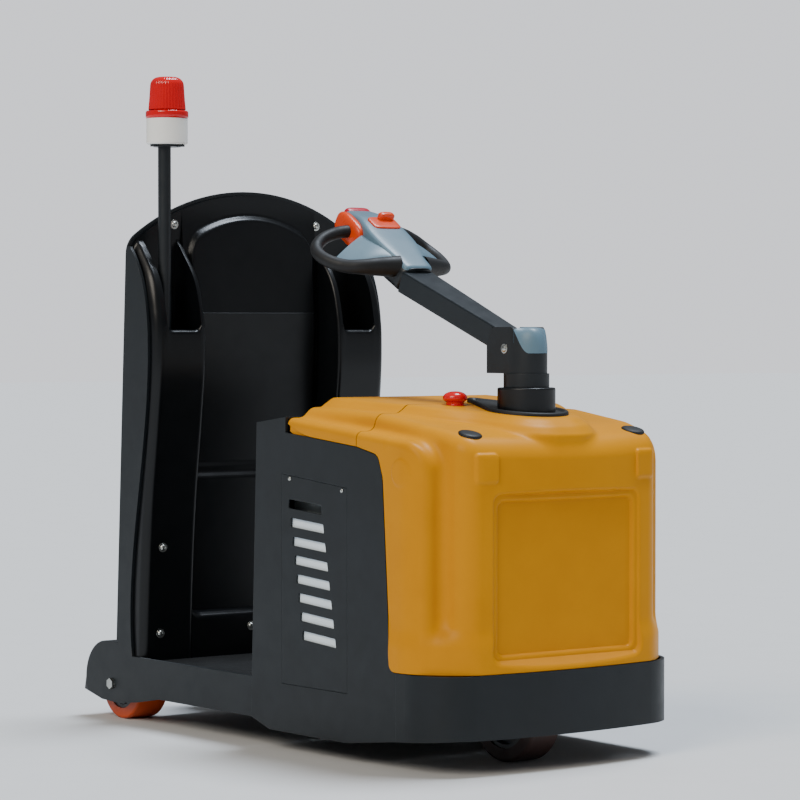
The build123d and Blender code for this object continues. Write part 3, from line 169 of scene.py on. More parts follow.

# Wheels: polyurethane cast and bonded on iron hubs. The load wheels are orange and smooth, the drive tyre is
# brownish, with a painted shade darkening it to dark brown, and both have the waxy half gloss of a cast skin.
load_tyre = finish("cast_polyurethane_orange", "#C84A12", "#A03A0E", 0.48, 0.1, grain_mm=2.5, relief_mm=0.08)
dress(load_tyre, "rear_tyre_right", "rear_tyre_left")
# The drive tyre's dark brown is a painted shade on a brownish tyre.
drive_tyre = finish("cast_polyurethane_painted_shade", "#3A2622", "#2A1F1E", 0.55, 0.1, grain_mm=2.5, relief_mm=0.1)
dress(drive_tyre, "drive_tyre")
# Painted iron is dull and a little rough from the sand mould; its edges are painted pale, partly as paint
# rubbed thin and partly as a painted highlight.
hub_iron = finish("painted_cast_iron", "#4A4E51", "#3A3D40", 0.5, 0.1,
                  grain_mm=1.6, relief_mm=0.2, edge_mm=1.5, edge_rub_and_highlight="#8A8D8E")
dress(hub_iron, "rear_hub_right", "rear_hub_left", "drive_hub", "drive_case")
# Zinc plate on turned steel is bright, with a blurred mirror light.
zinc_plate = finish("zinc_plated_steel", "#B9BAB4", "#A2A5A2", 0.3, 0.1,
                    grain_mm=1.2, relief_mm=0.03, edge_mm=0.8)
zinc_plate.node_tree.nodes["Principled BSDF"].inputs["Metallic"].default_value = 1.0
dress(zinc_plate, "rear_axles", "steering_shaft", "hitch_pin")

# Motor and neck of the steering column, the beacon's pole and bracket, and the coupling:
# castings and bar, painted a dark satin grey over a slightly rough skin.
# Their edges are painted paler, partly as rubbed paint and partly as a painted highlight.
dark_casting = finish("painted_casting_dark", "#121619", "#171C1F", 0.4, 0.08, grain_mm=1.8, relief_mm=0.12,
                      edge_mm=2.2, edge_rub_and_highlight="#3E464B", shine=0.4)
dress(dark_casting, "drive_motor", "column_neck", "beacon_pole", "beacon_bracket", "tow_hitch")

# Hood: one deep moulding in through-coloured yellow plastic, parted across the top into the nose
# and the battery cover. Low wings, a middle block and a raised island step up like terraces,
# with soft blends between them; the nose carries a stepped recess and two square pads.
hood_back, parting, hood_tip = 143, 415, 745
hood_foot = 224


def rounded_corner(a, b, r):
    """Where two sides meet: the larger of two distances, with the edge rolled over at radius r."""
    return np.minimum(np.maximum(a, b), -r) + np.hypot(np.maximum(a + r, 0), np.maximum(b + r, 0))


def melted(a, b, k):
    """Where two forms join: the smaller of two distances, with a hollow blend about k wide."""
    h = np.clip(0.5 + 0.5 * (b - a) / k, 0, 1)
    return b + (a - b) * h - k * h * (1 - h)


def ramp(t):
    """Smooth step from 0 to 1."""
    t = np.clip(t, 0, 1)
    return t * t * (3 - 2 * t)


def bowed_nose(x, y, front, half, crown, corner):
    """Plan distance of a bowed front (a parabola crown deep) between sides, with rounded corners."""
    return rounded_corner(x - (front - crown * (y / half) ** 2), np.abs(y) - half, corner)


def carved(form, cut, k):
    """A form with a cut taken out of it, and the rim of the cut softened over about k."""
    return -melted(-form, cut, k)


def hood_form(x, y, z):
    """Signed distance, in mm, to the outside of the hood: negative inside.

    Wings, block, base and island are slabs under sloping top lines with rolled edges. The wings and the base
    keep to the bowed plan of the skirt, and the block stands between them with a groove at each side. All are
    melted together, then the recess is cut in two steps and the pads and side discs are pushed out."""
    side = np.abs(y)
    band = bowed_nose(x, y, front=737.5, half=359, crown=40, corner=126)
    wing_front, block_half, block_front, base_top = 646, 279, 736, 298
    wing_top = np.interp(x, [hood_back, parting, wing_front], [776, 751, 730])
    wings = rounded_corner(rounded_corner(x - wing_front, z - wing_top, 62), band, 17)
    flank = (side - np.interp(x, [hood_back, 590, 720, 760], [306, 306, block_half, 269])) * 0.98
    face = rounded_corner(x - (block_front - 22 * (side / block_half) ** 2), flank, 36)
    nose_fall = 20 * np.clip((x - 600) / 145, 0, 1) ** 2
    block_top = np.interp(x, [hood_back, parting, hood_tip], [799, 790, 744]) - nose_fall
    middle = rounded_corner(face, z - block_top, 24 + 14 * ramp((x - 560) / 120))
    base = rounded_corner(band, ((z - base_top) + 0.9 * band) * 0.743, 14)
    broad_half, narrow_half = 236, 104
    broad = rounded_corner(side - broad_half, (x - 435) * 0.648 + (side - broad_half) * 0.761, 70)
    narrow = rounded_corner(side - narrow_half, x - 694, 83)
    island_plan = melted(rounded_corner(broad, x - 660, 40), narrow, 36)
    island_top = np.interp(x, [hood_back, parting, hood_tip], [821, 809, 776])
    wall = (island_plan + 0.8 * np.maximum(z - island_top, -34)) * 0.78
    island = rounded_corner(wall, z - island_top, 9)
    apron = rounded_corner(wall - 6, z - island_top + 12, 7)
    form = melted(melted(wings, middle, 24), base, 22)
    form = melted(melted(form, apron, 9), island, 9)
    form = rounded_corner(form, hood_back - x, 10)
    step_x, field_x = 719, 711
    tall = np.abs(z - 431)
    foot = ramp((300 - z) / 30)
    outer = rounded_corner(side - 210, tall - 185 + 5 * foot, 18) - (0.3 + 0.5 * foot) * (x - step_x)
    inner = rounded_corner(side - 194, tall - 168, 14) - 0.5 * (x - field_x)
    form = carved(form, np.maximum(step_x - x, outer * 0.9), 6)
    form = carved(form, np.maximum(field_x - x, inner * 0.9), 6)
    pad_y, pad_z = np.maximum(np.abs(side - 230) - 20, 0), np.maximum(np.abs(z - 676) - 24, 0)
    form = form - 6 * ramp((x - 660) / 20) * ramp(0.5 - (np.hypot(pad_y, pad_z) - 8) / 5)
    disc = np.hypot(x - 577, z - 664) - 30
    return form - 2.4 * ramp((side - 340) / 10) * ramp(0.5 - disc / 3)


def first_hit(start, end, steps=56, halvings=14):
    """Walks each ray from start to end in steps, then halves the step where the form is entered."""
    share = np.linspace(0, 1, steps)[:, None]
    path = start[None] + share[..., None] * (end - start)[None]
    inside = hood_form(path[..., 0], path[..., 1], path[..., 2]) < 0
    step = np.argmax(inside, axis=0)
    low, high = share[np.maximum(step - 1, 0), 0], share[step, 0]
    for _ in range(halvings):
        middle = (low + high) / 2
        point = start + middle[:, None] * (end - start)
        entered = hood_form(point[:, 0], point[:, 1], point[:, 2]) < 0
        low, high = np.where(entered, low, middle), np.where(entered, middle, high)
    return start + high[:, None] * (end - start)


def spaced(*stretches):
    """Grid lines along stretches given as (start, end, count), each start kept once."""
    runs = [np.linspace(a, b, n, endpoint=False) for a, b, n in stretches]
    return np.concatenate(runs + [[stretches[-1][1]]])


def hood_skin(plan, normal, spine, lower, rows):
    """Right half of a hood moulding as a grid of points.

    Columns follow a guide in plan and rows climb a guide of upright wall, quarter round of 90 mm and level
    top to the spine. From each guide point a ray runs in along the guide's normal to the form. Below the
    knee the rows are squeezed so that the first one lies on the lower edge."""
    knee, wall, bend, ray = 520.0, 456.0, 90.0, 80
    quarter = bend * math.pi / 2
    above = lower - hood_foot
    edge = np.where(above > wall, wall + bend * np.arctan((above - wall) / 98), above)
    w = rows[:, None]
    w = np.where(w < knee, edge[None] + w * (knee - edge[None]) / knee, w)
    turn = np.clip((w - wall) / bend, 0, math.pi / 2)
    along = np.clip((w - wall - quarter) / (rows[-1] - wall - quarter), 0, 1)
    shoulder = plan - bend * normal
    flat = shoulder[None] + bend * np.cos(turn)[..., None] * normal[None]
    flat = flat + along[..., None] * (spine - shoulder)[None]
    height = hood_foot + np.minimum(w, wall) + bend * np.sin(turn)
    target = np.concatenate([flat, height[..., None]], -1)
    aim = np.concatenate([np.cos(turn)[..., None] * normal[None], np.sin(turn)[..., None]], -1)
    shape = target.shape
    target, aim = target.reshape(-1, 3), aim.reshape(-1, 3)
    return first_hit(target + ray * aim, target - ray * aim).reshape(shape), aim.reshape(shape)


def weave(rows, columns):
    """Quads of a grid of rows by columns, in order."""
    index = np.arange(rows * columns).reshape(rows, columns)
    return np.stack([index[:-1, :-1], index[:-1, 1:], index[1:, 1:], index[1:, :-1]], -1).reshape(-1, 4)


def surface(grid):
    """Points of a grid in one list, and its quads."""
    return grid.reshape(-1, 3), weave(*grid.shape[:2])


def both_sides(points, faces):
    """Points and faces of a right half and its mirror image in the middle plane."""
    twin = points * [1, -1, 1]
    return np.concatenate([points, twin]), np.concatenate([faces, faces[:, ::-1] + len(points)])


def piece(name, points, faces, material, body, slot, crease=45, stands_for=()):
    """Puts points (mm) and faces in a mesh, merges its doubles, and fixes it to its body."""
    mesh = bpy.data.meshes.new(name)
    mesh.from_pydata((np.asarray(points) / 1000).tolist(), [], np.asarray(faces).tolist())
    work = bmesh.new()
    work.from_mesh(mesh)
    bmesh.ops.remove_doubles(work, verts=work.verts, dist=2e-5)
    bmesh.ops.dissolve_degenerate(work, edges=work.edges, dist=1e-6)
    fixed(mesh, work, material, body, crease, stands_for)


def hood_half(grid, aim):
    """Grid of the right half with a lip in and down at its lower edge, and a lip in at its parting edge."""
    lip_in, lip_down = 6, 14
    lip = grid[:1] - lip_in * aim[:1]
    grid = np.concatenate([lip - [0, 0, lip_down], lip, grid], 0)
    aim = np.concatenate([aim[:1], aim[:1], aim], 0)
    return np.concatenate([grid[:, :1] - lip_in * aim[:, :1], grid], 1)


def arc_at(before, corner, after, radius, count=9):
    """Points of the arc of that radius that rounds a corner between two straight lines."""
    before, corner, after = (np.array(p, float) for p in (before, corner, after))
    u = (before - corner) / np.linalg.norm(before - corner)
    v = (after - corner) / np.linalg.norm(after - corner)
    half = math.acos(np.dot(u, v)) / 2
    centre = corner + (u + v) / np.linalg.norm(u + v) * radius / math.sin(half)
    start, stop = corner + u * radius / math.tan(half), corner + v * radius / math.tan(half)
    blend = np.linspace(0, 1, count)[:, None]
    chord = start + (stop - start) * blend - centre
    return centre + radius * chord / np.linalg.norm(chord, axis=1)[:, None]


# Lower edge of the hood, as pairs of x and z: along the box's top, down its front in two bends, and forward.
box_front, skirt_front = (514, 650), (800, hood_foot)
hood_edge = np.concatenate([
    [(hood_back, 743), (parting, 718)],
    arc_at((parting, 718), (495, 702), box_front, 26),
    [box_front],
    arc_at(box_front, (543, hood_foot), skirt_front, 20),
    [skirt_front],
])


def hood_moulding(start, way, straight, corner, spine_reach, columns, rows):
    """Points and faces of one of the hood's two mouldings.

    Its guide in plan leaves the parting line at start, forward or back by way, runs straight along the side,
    turns a round corner and goes across to the middle. The rows end on the middle plane, on a spine whose
    points crowd together towards its far end."""
    guide_half = 352
    bend = np.clip((columns - straight) / corner, 0, math.pi / 2)
    inward = np.clip(columns - straight - corner * math.pi / 2, 0, guide_half - corner)
    x = start + way * (np.minimum(columns, straight) + corner * np.sin(bend))
    plan = np.stack([x, corner - guide_half - corner * np.cos(bend) + inward], -1)
    plan[-1, 1] = 0
    normal = np.stack([way * np.sin(bend), -np.cos(bend)], -1)
    left = 1 - columns / columns[-1]
    spine = np.stack([start + way * spine_reach * (1 - left**2), 0 * left], -1)
    grid, aim = hood_skin(plan, normal, spine, np.interp(x, *hood_edge.T), rows)
    return both_sides(*surface(hood_half(grid, aim)))


# Satin yellow ABS: a bright top, warm in the shade, with a fine moulded grain of about 1 mm,
# drawn at 2.5 mm to show, and a little dust that dulls the gloss in patches.
hood_yellow = finish("moulded_abs_yellow", "#CB8600", "#C48000", 0.4, 0.05,
                     grain_mm=2.5, relief_mm=0.03, shine=0.1)
seam, column_x, column_hole, hole_floor = 1.5, 578, 72, 700
nose_columns = spaced((0, 78, 9), (78, 98, 10), (98, 127, 10), (127, 146, 9), (146, 208, 20), (208, 381, 76),
                      (381, 445, 32), (445, 623, 26))
nose_rows = spaced((0, 8, 4), (8, 46, 34), (46, 104, 10), (104, 366, 12), (366, 406, 36), (406, 456, 14),
                   (456, 597, 48), (597, 860, 84))
points, faces = hood_moulding(parting + seam, 1, 208.5, 110, 183.5, nose_columns, nose_rows)
middle = points[faces].mean(1)
faces = faces[(np.hypot(middle[:, 0] - column_x, middle[:, 1]) > column_hole) | (middle[:, 2] < hole_floor)]
piece("hood_nose_moulding", points, faces, hood_yellow, "chassis", "yellow_moulding", 50, ["hood_nose"])

cover_columns = spaced((0, 165, 18), (165, 325, 90), (325, 577, 34))
cover_rows = spaced((0, 520, 12), (520, 597, 26), (597, 860, 90))
cover = hood_moulding(parting - seam, -1, 169, 96.5, 150, cover_columns, cover_rows)
piece("battery_cover_moulding", *cover, hood_yellow, "chassis", "yellow_moulding", 50, ["battery_cover"])

# Rubber plugs over the nose's screws, pressed into the roll at the front corners, and the gasket
# round the column: black rubber, moulded with a soft matt skin that hardly shines.
soft_rubber = finish("moulded_rubber_black", "#121314", "#1A1B1C", 0.58, 0.1, grain_mm=1.5, relief_mm=0.08,
                     edge_mm=2.0, shine=0.35)


def turned(profile, foot, along, count=20, flutes=0, depth=0.0):
    """Surface of revolution: pairs of radius and height spun about a line, with flutes pressed into it."""
    along = np.array(along, float) / np.linalg.norm(along)
    across = np.cross(along, [0.31, 0.52, 0.79])
    across /= np.linalg.norm(across)
    beside = np.cross(along, across)
    angle = np.linspace(0, 2 * math.pi, count + 1)
    r, h = np.array(profile, float).T
    r = r[:, None] * (1 - depth * (0.5 + 0.5 * np.cos(flutes * angle)) * bool(flutes))
    ring = np.cos(angle)[None, :, None] * across + np.sin(angle)[None, :, None] * beside
    return surface(np.array(foot, float) + r[..., None] * ring + h[:, None, None] * along)


def gathered(parts):
    """Points and faces of several pieces as one."""
    shift = np.cumsum([0] + [len(q) for q, _ in parts])
    return np.concatenate([q for q, _ in parts]), np.concatenate([f + n for (_, f), n in zip(parts, shift)])


# The gasket is a teardrop: each point stands off a round 96 mm in radius about the column or a small one at
# the tail, along the same normal, and a thick rim is carried round it on the slope of the island.
boot_r, tail_r, tail_back = 96, 18, 187
lean_over = np.radians(np.linspace(-180, 180, 145))[None]
big = np.abs(lean_over) < math.acos((tail_r - boot_r) / tail_back)
rim_in = np.array([0, 0, 1.2, 3.5, 7, 10, 13, 17, 17.9])[:, None]
rim_up = np.array([-5, 4, 7, 8.6, 8.6, 7, 4, 3, 3])[:, None]
reach = np.where(big, boot_r, tail_r) - rim_in
boot_x = column_x - np.where(big, 0, tail_back) + reach * np.cos(lean_over)
boot_y = reach * np.sin(lean_over)
boot = np.stack([boot_x, boot_y, 809 - 0.1 * (boot_x - parting) + rim_up], -1)
boot = np.concatenate([boot, boot[-1:] * [1, 0, 1]])
piece("column_boot", *surface(boot), soft_rubber, "chassis", "black_rubber", 50, ["column_gasket"])

# Each plug is spun on the hood's own normal, from the form's slope over 1 mm each way.
plug = [(0, 5.2), (12, 5.0), (20, 4.3), (24.5, 3.0), (26.6, 1.2), (27, -1), (27, -8)]
plug_x, plug_y = 672, 238.0
parts = []
for y in (-plug_y, plug_y):
    seat = first_hit(np.array([[plug_x, y, 900.0]]), np.array([[plug_x, y, 600.0]]))[0]
    slope = hood_form(*(seat + np.eye(3)).T) - hood_form(*(seat - np.eye(3)).T)
    parts.append(turned(plug, seat, slope, 40))
piece("hood_plugs", *gathered(parts), soft_rubber, "chassis", "black_rubber", 45, ["hood_caps"])

# Emergency stop: a mushroom button of glossy red plastic, screwed into the island beside the column.
# Its wide cap overhangs a short neck and a collar, all spun as one profile.
stop_red = finish("moulded_plastic_red", "#D60A12", "#C4080F", 0.22, 0.06,
                  grain_mm=3.0, relief_mm=0.01, edge_mm=2.0)
low_box, high_box = (np.array(c) * 1000 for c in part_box("emergency_stop"))
stop_foot = np.append((low_box + high_box)[:2] / 2, low_box[2])
stop = [(0, 33), (8, 32.6), (15, 31.2), (21, 28.6), (25.4, 25), (28, 20.5), (28.4, 16.5), (27, 13),
        (23.5, 10.6), (20.5, 8), (20, 3), (22.4, 2.4), (22.6, -3)]
mushroom = turned(stop, stop_foot, (0, 0, 1), 48)
piece("stop_button", *mushroom, stop_red, "chassis", "red_plastic", 40, ["emergency_stop"])

# Foot of the column: a ring of black plastic moulded with a fine spark-eroded grain,
# about 0.8 mm and drawn at 1.8 mm to show.
black_moulding = finish("moulded_plastic_black", "#0A0C0E", "#0F1214", 0.36, 0.08,
                        grain_mm=1.8, relief_mm=0.05, edge_mm=3.0, shine=0.4)
dress(black_moulding, "column_foot")

# Backrest: one large black moulding bolted to the steel back plate. A raised arched panel stands between
# two bulged wings, each with a pocket open at the top, above a lumbar bar and a kick panel.
lean, plate_x = math.radians(2.75), -603
back_d, flange_d = 6.3, 11.3
foot_z, lift_z, rim_z, lip_z = 150, 900, 984, 1205


def leaned(d, y, z):
    """Point d in front of the back plate and z up it, in the machine's frame: turned 2.75 degrees forward."""
    x = plate_x + d * math.cos(lean) + z * math.sin(lean)
    return np.stack([x, y, z * math.cos(lean) - d * math.sin(lean)], -1)


def flowing(t, at, value):
    """Smooth curve through points: a cubic between neighbours, with slopes taken across each point."""
    at, value = np.array(at, float), np.array(value, float)
    slope = np.gradient(value, at)
    t = np.clip(t, at[0], at[-1])
    i = np.clip(np.searchsorted(at, t) - 1, 0, len(at) - 2)
    h = at[i + 1] - at[i]
    u = (t - at[i]) / h
    rise = value[i] * (1 + 2 * u) * (1 - u) ** 2 + value[i + 1] * u * u * (3 - 2 * u)
    return rise + h * u * (1 - u) * (slope[i] * (1 - u) - slope[i + 1] * u)


def wing_line(z):
    """Front of a wing above the back plate: a lumbar swell, then a sweep back into the flange."""
    heights = [foot_z, 360, 556, 760, 920, 1030, 1122, 1180, lip_z]
    return flowing(z, heights, [108, 108, 114, 131, 139, 126, 87, 34, flange_d])


def centre_depth(y, z):
    """Front of the panel between the wings, whichever is proudest of these.

    A bed, an arched field that leans back above a crisp bend, a lumbar bar with two steps, and a kick panel
    whose top edge sweeps up at its ends."""
    side, bend_z = np.abs(y), 1024
    bed = flowing(z, [0, 700, 980, 1060, 1160, 1262, 1330], [40, 40, 40, 35, 24, 12.5, flange_d])
    field = np.where(z < bend_z, 55.5, 52.5 - (z - bend_z) * 0.104)
    outside = rounded_corner(side - 190, np.hypot(y, np.maximum(z - 935, 0)) - 329, 36)
    field = bed + (field - bed) * ramp(0.5 - outside / 15)
    bar = np.interp(z, [0, 607, 612, 622, 626, 637, 648, 653], [72, 72, 70.5, 62.5, 61.5, 60.5, 55, 0])
    sweep = 26 * (1 - np.sqrt(1 - np.clip((side - 172) / 33, 0, 1) ** 2))
    kick = np.interp(z - sweep, [0, 256, 262, 266, 273, 276], [104, 104, 102.5, 100, 88, 0])
    return np.maximum(np.maximum(field, bar), kick)


# Columns of the right half, outward from the middle: the centre, a wing with a rolled edge at each side, and
# the flange's back edge. Each drop is how far a column lies behind the wing's line.
wing_in, wing_out, inner_r, outer_r = 204, 351.7, 9, 22
pocket_y, pocket_half = 268, 50
inner_turn = np.linspace(0, math.pi / 2, 6)
outer_turn = np.radians([0, 11, 21.32, 33, 46, 60, 75, 90])
centre_y = spaced((0, 160, 15), (160, wing_in, 26))
level_y = np.concatenate([[pocket_y - pocket_half], spaced((223, 313, 18)), [pocket_y + pocket_half, 324]])
half_y = np.concatenate([centre_y, wing_in + inner_r - inner_r * np.cos(inner_turn), level_y,
                         wing_out - outer_r + outer_r * np.sin(outer_turn), [wing_out]])
drop = np.concatenate([0 * centre_y, inner_r - inner_r * np.sin(inner_turn), 0 * level_y,
                       outer_r - outer_r * np.cos(outer_turn), [0]])
column_index = np.arange(len(half_y))
in_centre, at_back = column_index < len(centre_y), column_index == len(half_y) - 1

# The outline's top is an arch of 549 mm radius with 60 mm shoulders. Rows go up to the pocket's rim, on to
# the lip that the wings run out at, and on to the arch. Each row's stage is its height on a full column.
arch_r, arch_z, shoulder_r, shoulder_y, shoulder_z, meet_y = 549, 770.5, 60, 290, 1165.3, 328.3
shoulder = np.sqrt(np.maximum(shoulder_r**2 - np.maximum(half_y - shoulder_y, 0) ** 2, 0))
arch_top = np.where(half_y < meet_y, arch_z + np.sqrt(arch_r**2 - half_y**2), shoulder_z + shoulder)
arch_top = np.where(half_y > shoulder_y + shoulder_r, shoulder_z, arch_top)
lip_top = np.minimum(lip_z, arch_top - 2)
low = spaced((foot_z, 250, 8), (250, 304, 26), (304, 600, 22), (600, 656, 28), (656, 964, 22),
             (964, rim_z, 8))
mid = spaced((0, 0.16, 12), (0.16, 0.22, 8), (0.22, 1, 44))
high = spaced((0, 1, 34))
z = np.concatenate([np.repeat(low[:, None], len(half_y), 1), rim_z + (lip_top - rim_z) * mid[1:, None],
                    lip_top + (arch_top - lip_top) * high[1:, None]])
stage = np.concatenate([low, rim_z + (lip_z - rim_z) * mid[1:], lip_z + 0 * high[1:]])[:, None]
# The pocket's front wall rolls over at its rim, and the rim climbs in a 16 mm round to the lips at its ends.
mouth_r, roll_r = 16, 9
off_pocket = np.abs(half_y - pocket_y)
in_mouth = ~in_centre & (off_pocket < pocket_half + 0.1)
mouth = np.clip((off_pocket - pocket_half + mouth_r) / mouth_r, 0, 1)
climb = np.where(in_mouth, mouth_r * (1 - np.sqrt(1 - mouth**2)), 0)
lifted = z + climb * ramp((stage - lift_z) / (rim_z - lift_z))
z = np.where(stage <= rim_z, lifted, np.maximum(z, rim_z + climb))
rolled = roll_r - np.sqrt(np.maximum(roll_r**2 - np.clip(stage - rim_z + roll_r, 0, roll_r) ** 2, 0))
drop = drop + np.where(in_mouth, 1 - mouth**4, 0) * np.where(stage <= rim_z, rolled, 0)
# A wing runs out into the flange in a soft fillet: its last 16 mm of height follow a cubic with a level foot.
fillet_d = 16
proud = np.maximum(wing_line(stage) - drop - flange_d, 0)
fillet = np.minimum(proud / fillet_d, 1)
proud = np.where(proud < fillet_d, fillet_d * fillet**2 * (2 - fillet), proud)
d = np.where(in_centre, np.maximum(centre_depth(half_y[None], z), flange_d), flange_d + proud)
d = np.where(at_back, back_d, d)
foot_clear = 154.6
z = np.maximum(z, (foot_clear + d * math.sin(lean)) / math.cos(lean))
z = np.concatenate([z, z[-1:]])
d = np.concatenate([d, 0 * d[-1:] + back_d])
skin = leaned(d, -half_y[None] + 0 * d, z)
points, faces = surface(skin)
rim, lip = len(low) - 1, len(low) + len(mid) - 2
first, last = np.flatnonzero(in_mouth)[[0, -1]]
row, column = np.divmod(faces[:, 0], skin.shape[1])
faces = faces[~((row >= rim) & (row < lip) & (column >= first) & (column < last))]

# Each pocket's liner hangs from the mouth: down inside the front wall, over the floor and up the back wall.
floor_z, pocket_wall = 800, 5
way = np.linspace(0, 46, len(mid))[:, None]
over_rim, front_foot, back_foot = 1, 14, 20
turns = [0, over_rim, front_foot, back_foot, 46]
wall_z = np.interp(way, turns, [rim_z, rim_z, floor_z, floor_z, lip_z])
back_z = floor_z + (lip_top[in_mouth] - floor_z) * (wall_z - floor_z) / (lip_z - floor_z)
front_z = wall_z + climb[in_mouth] * ramp((wall_z - lift_z) / (rim_z - lift_z))
wall_z = np.where(way > back_foot, back_z, np.where(way <= front_foot, front_z, wall_z))
front_d = wing_line(np.minimum(wall_z, rim_z)) - drop[rim, in_mouth]
share = np.interp(way, turns, [0, 0, 0, 1, 1])
liner_d = np.where(way < over_rim, front_d, (front_d - pocket_wall) * (1 - share) + flange_d * share)
liner = leaned(liner_d, -half_y[in_mouth][None] + 0 * liner_d, wall_z + 0 * liner_d)
edge_rows = slice(rim, lip + 1)
liner = np.concatenate([skin[edge_rows, first][:, None], liner, skin[edge_rows, last][:, None]], 1)
backrest = both_sides(*gathered([(points, faces), surface(liner)]))
# Satin black polyethylene: deep black with a soft bluish sheen on the rolled edges, and a pebble grain
# of about 1 mm, drawn at 2.2 mm to show.
backrest_black = finish("moulded_polyethylene_black", "#07090B", "#090B0E", 0.31, 0.035, grain_mm=2.2,
                        relief_mm=0.04, shine=0.3)
piece("backrest_moulding_skin", *backrest, backrest_black, "chassis", "black_moulding", 40,
      ["backrest_moulding"])

# Button-head bolts, zinc plated, on round washers: they hold the moulding to the back plate.
# Four are on the wings, two in the kick panel and two near the top of the arch.
button = [(0, 5.6), (3.0, 5.4), (5.6, 4.2), (7.2, 2.4), (7.6, 1.6), (11.5, 1.5), (11.8, 0.2), (11.8, -1)]
ahead = np.array([math.cos(lean), 0, -math.sin(lean)])
seats = [(wing_line(np.array(z0)), y0, z0) for z0 in (228.0, 443.0) for y0 in (-300, 300)]
seats += [(104.0, -24, 231), (104.0, 24, 231), (11.6, -226, 1243), (11.6, 210, 1246)]
bolts = gathered([turned(button, leaned(*map(np.array, seat)), ahead) for seat in seats])
piece("backrest_bolts", *bolts, zinc_plate, "chassis", "zinc_steel", 35)

# Their nuts on the back of the plate: six-sided, zinc plated, screwed on from behind,
# each with the bolt's end standing out of it.
nut = [(0, 9), (3.2, 9), (4, 8.2), (4, 6.6), (7.6, 6.4), (8.4, 5.6), (8.4, 0.6), (11, 0.6), (11, -0.4)]
nuts = gathered([turned(nut, leaned(0.0, y0, z0), -ahead, 6) for _, y0, z0 in seats])
piece("backrest_nuts", *nuts, zinc_plate, "chassis", "zinc_steel", 25)

# Yoke: a casting with a round front and two cheeks that the arm hinges between, painted dark; a grey plastic
# cover closes its rounded nose, and a zinc bolt goes through the cheeks.
yoke_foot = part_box("tiller_yoke")[0][2] * 1000
nose_x, nose_r, half = 571.0, 57.0, 48.0
tail_x, slot_x, slot_half, slot_corner = 494, 588, 33, 4
around = np.linspace(-math.pi / 2, math.pi / 2, 33)
cheek = np.linspace(tail_x, nose_x, 12, endpoint=False)
outer = np.concatenate([np.stack([cheek, 0 * cheek - half], -1),
                        np.stack([nose_x + nose_r * np.cos(around), half * np.sin(around)], -1),
                        np.stack([cheek[::-1], 0 * cheek + half], -1)])
inside = np.linspace(tail_x, slot_x, 24)
slot_end = [(slot_x + slot_corner, side * (slot_half - slot_corner)) for side in (1, -1)]
inner = np.concatenate([np.stack([inside, 0 * inside + slot_half], -1), slot_end,
                        np.stack([inside[::-1], 0 * inside - slot_half], -1)])


def yoke_crown(x):
    """Height of the yoke's top: level, with a bevel at the rear and a smooth fall of 60 mm round the nose."""
    fall = ramp(((x - nose_x) / nose_r - 0.15) / 0.7)
    return np.minimum(yoke_foot + 105 - 60 * fall, yoke_foot + 66 + (x - tail_x) * 1.9)


# Walls stand on the outline of cheeks, nose and slot, a lid closes the top of each cheek, and a slab 12 mm
# thick closes the foot.
ring = np.concatenate([outer, inner, outer[:1]])
top = yoke_crown(ring[:, 0])
wall = np.stack([np.column_stack([ring, 0 * top + yoke_foot]), np.column_stack([ring, top])])
lid_x = inside[:, None]
brim = np.where(lid_x > nose_x, half * np.sqrt(np.maximum(1 - ((lid_x - nose_x) / nose_r) ** 2, 0)), half)
lid_y = slot_half + (brim - slot_half) * np.array([[0.0, 1.0]])
lids = [np.stack(np.broadcast_arrays(lid_x, side * lid_y, yoke_crown(lid_x)), -1) for side in (-1.0, 1.0)]
slab = np.stack([outer * k + [560 * (1 - k), 0] for k in (1.0, 0.5, 0.0)])
slabs = [np.concatenate([slab, np.full(slab.shape[:2] + (1,), yoke_foot + h)], -1) for h in (0.0, 12.0)]
yoke = gathered([surface(grid) for grid in (wall, *lids, *slabs)])
yoke_paint = finish("painted_casting_yoke", "#121619", "#171C1F", 0.4, 0.08,
                    grain_mm=1.8, relief_mm=0.12, shine=0.4)
piece("tiller_yoke_casting", *yoke, yoke_paint, "steering", "dark_casting", 35, ["tiller_yoke"])

# Grey cover: a moulded dome over the nose, satin, that takes the light from above. It stands level with the
# yoke's top along the middle and drops to the yoke's edge at its rim.
head_grey = finish("moulded_plastic_grey", "#5C7786", "#546E7C", 0.4, 0.05, grain_mm=1.8, relief_mm=0.03)
cap_r, cap_half = nose_r + 0.5, half + 0.5
cap_x = nose_x + cap_r * np.sin(np.linspace(math.asin((slot_x - nose_x) / cap_r), math.pi / 2, 24))[:, None]
across = np.linspace(-1, 1, 33)[None]
reach = cap_half * np.sqrt(np.maximum(1 - ((cap_x - nose_x) / cap_r) ** 2, 0))
dome = (1 - np.abs(across) ** 3) * np.sqrt(np.maximum(1 - ((cap_x - nose_x) / cap_r) ** 6, 0))
cap_z = yoke_crown(cap_x) + 0.6 + (yoke_foot + 104 - yoke_crown(cap_x)) * dome
cap = np.stack([cap_x + 0 * across, reach * across, cap_z], -1)
cap = np.concatenate([cap[:1] - [0, 0, 30], cap])
piece("hinge_cover", *surface(cap), head_grey, "steering", "head_grey", 50)
bolt = [(0, 4.6), (5.5, 4.4), (7.2, 3.2), (7.6, 1.6), (11, 1.4), (11.2, -1)]
pivot = np.array([558, 0, 935.7])
bolts = gathered([turned(bolt, pivot + [0, side * half, 0], (0, side, 0), 24) for side in (-1, 1)])
piece("pivot_bolt_heads", *bolts, zinc_plate, "steering", "zinc_steel", 35, ["pivot_bolt"])

# Tiller arm: extruded aluminium box, painted a satin dark grey. Its edges are painted paler, partly as rubbed
# paint and partly as a painted highlight.
# It hinges between the yoke's cheeks and carries the head.
arm_paint = finish("painted_aluminium_grey", "#141B20", "#1A2126", 0.38, 0.06, grain_mm=3.0, relief_mm=0.03,
                   edge_mm=2.5, edge_rub_and_highlight="#4E575C", shine=0.4)
dress(arm_paint, "tiller_arm")

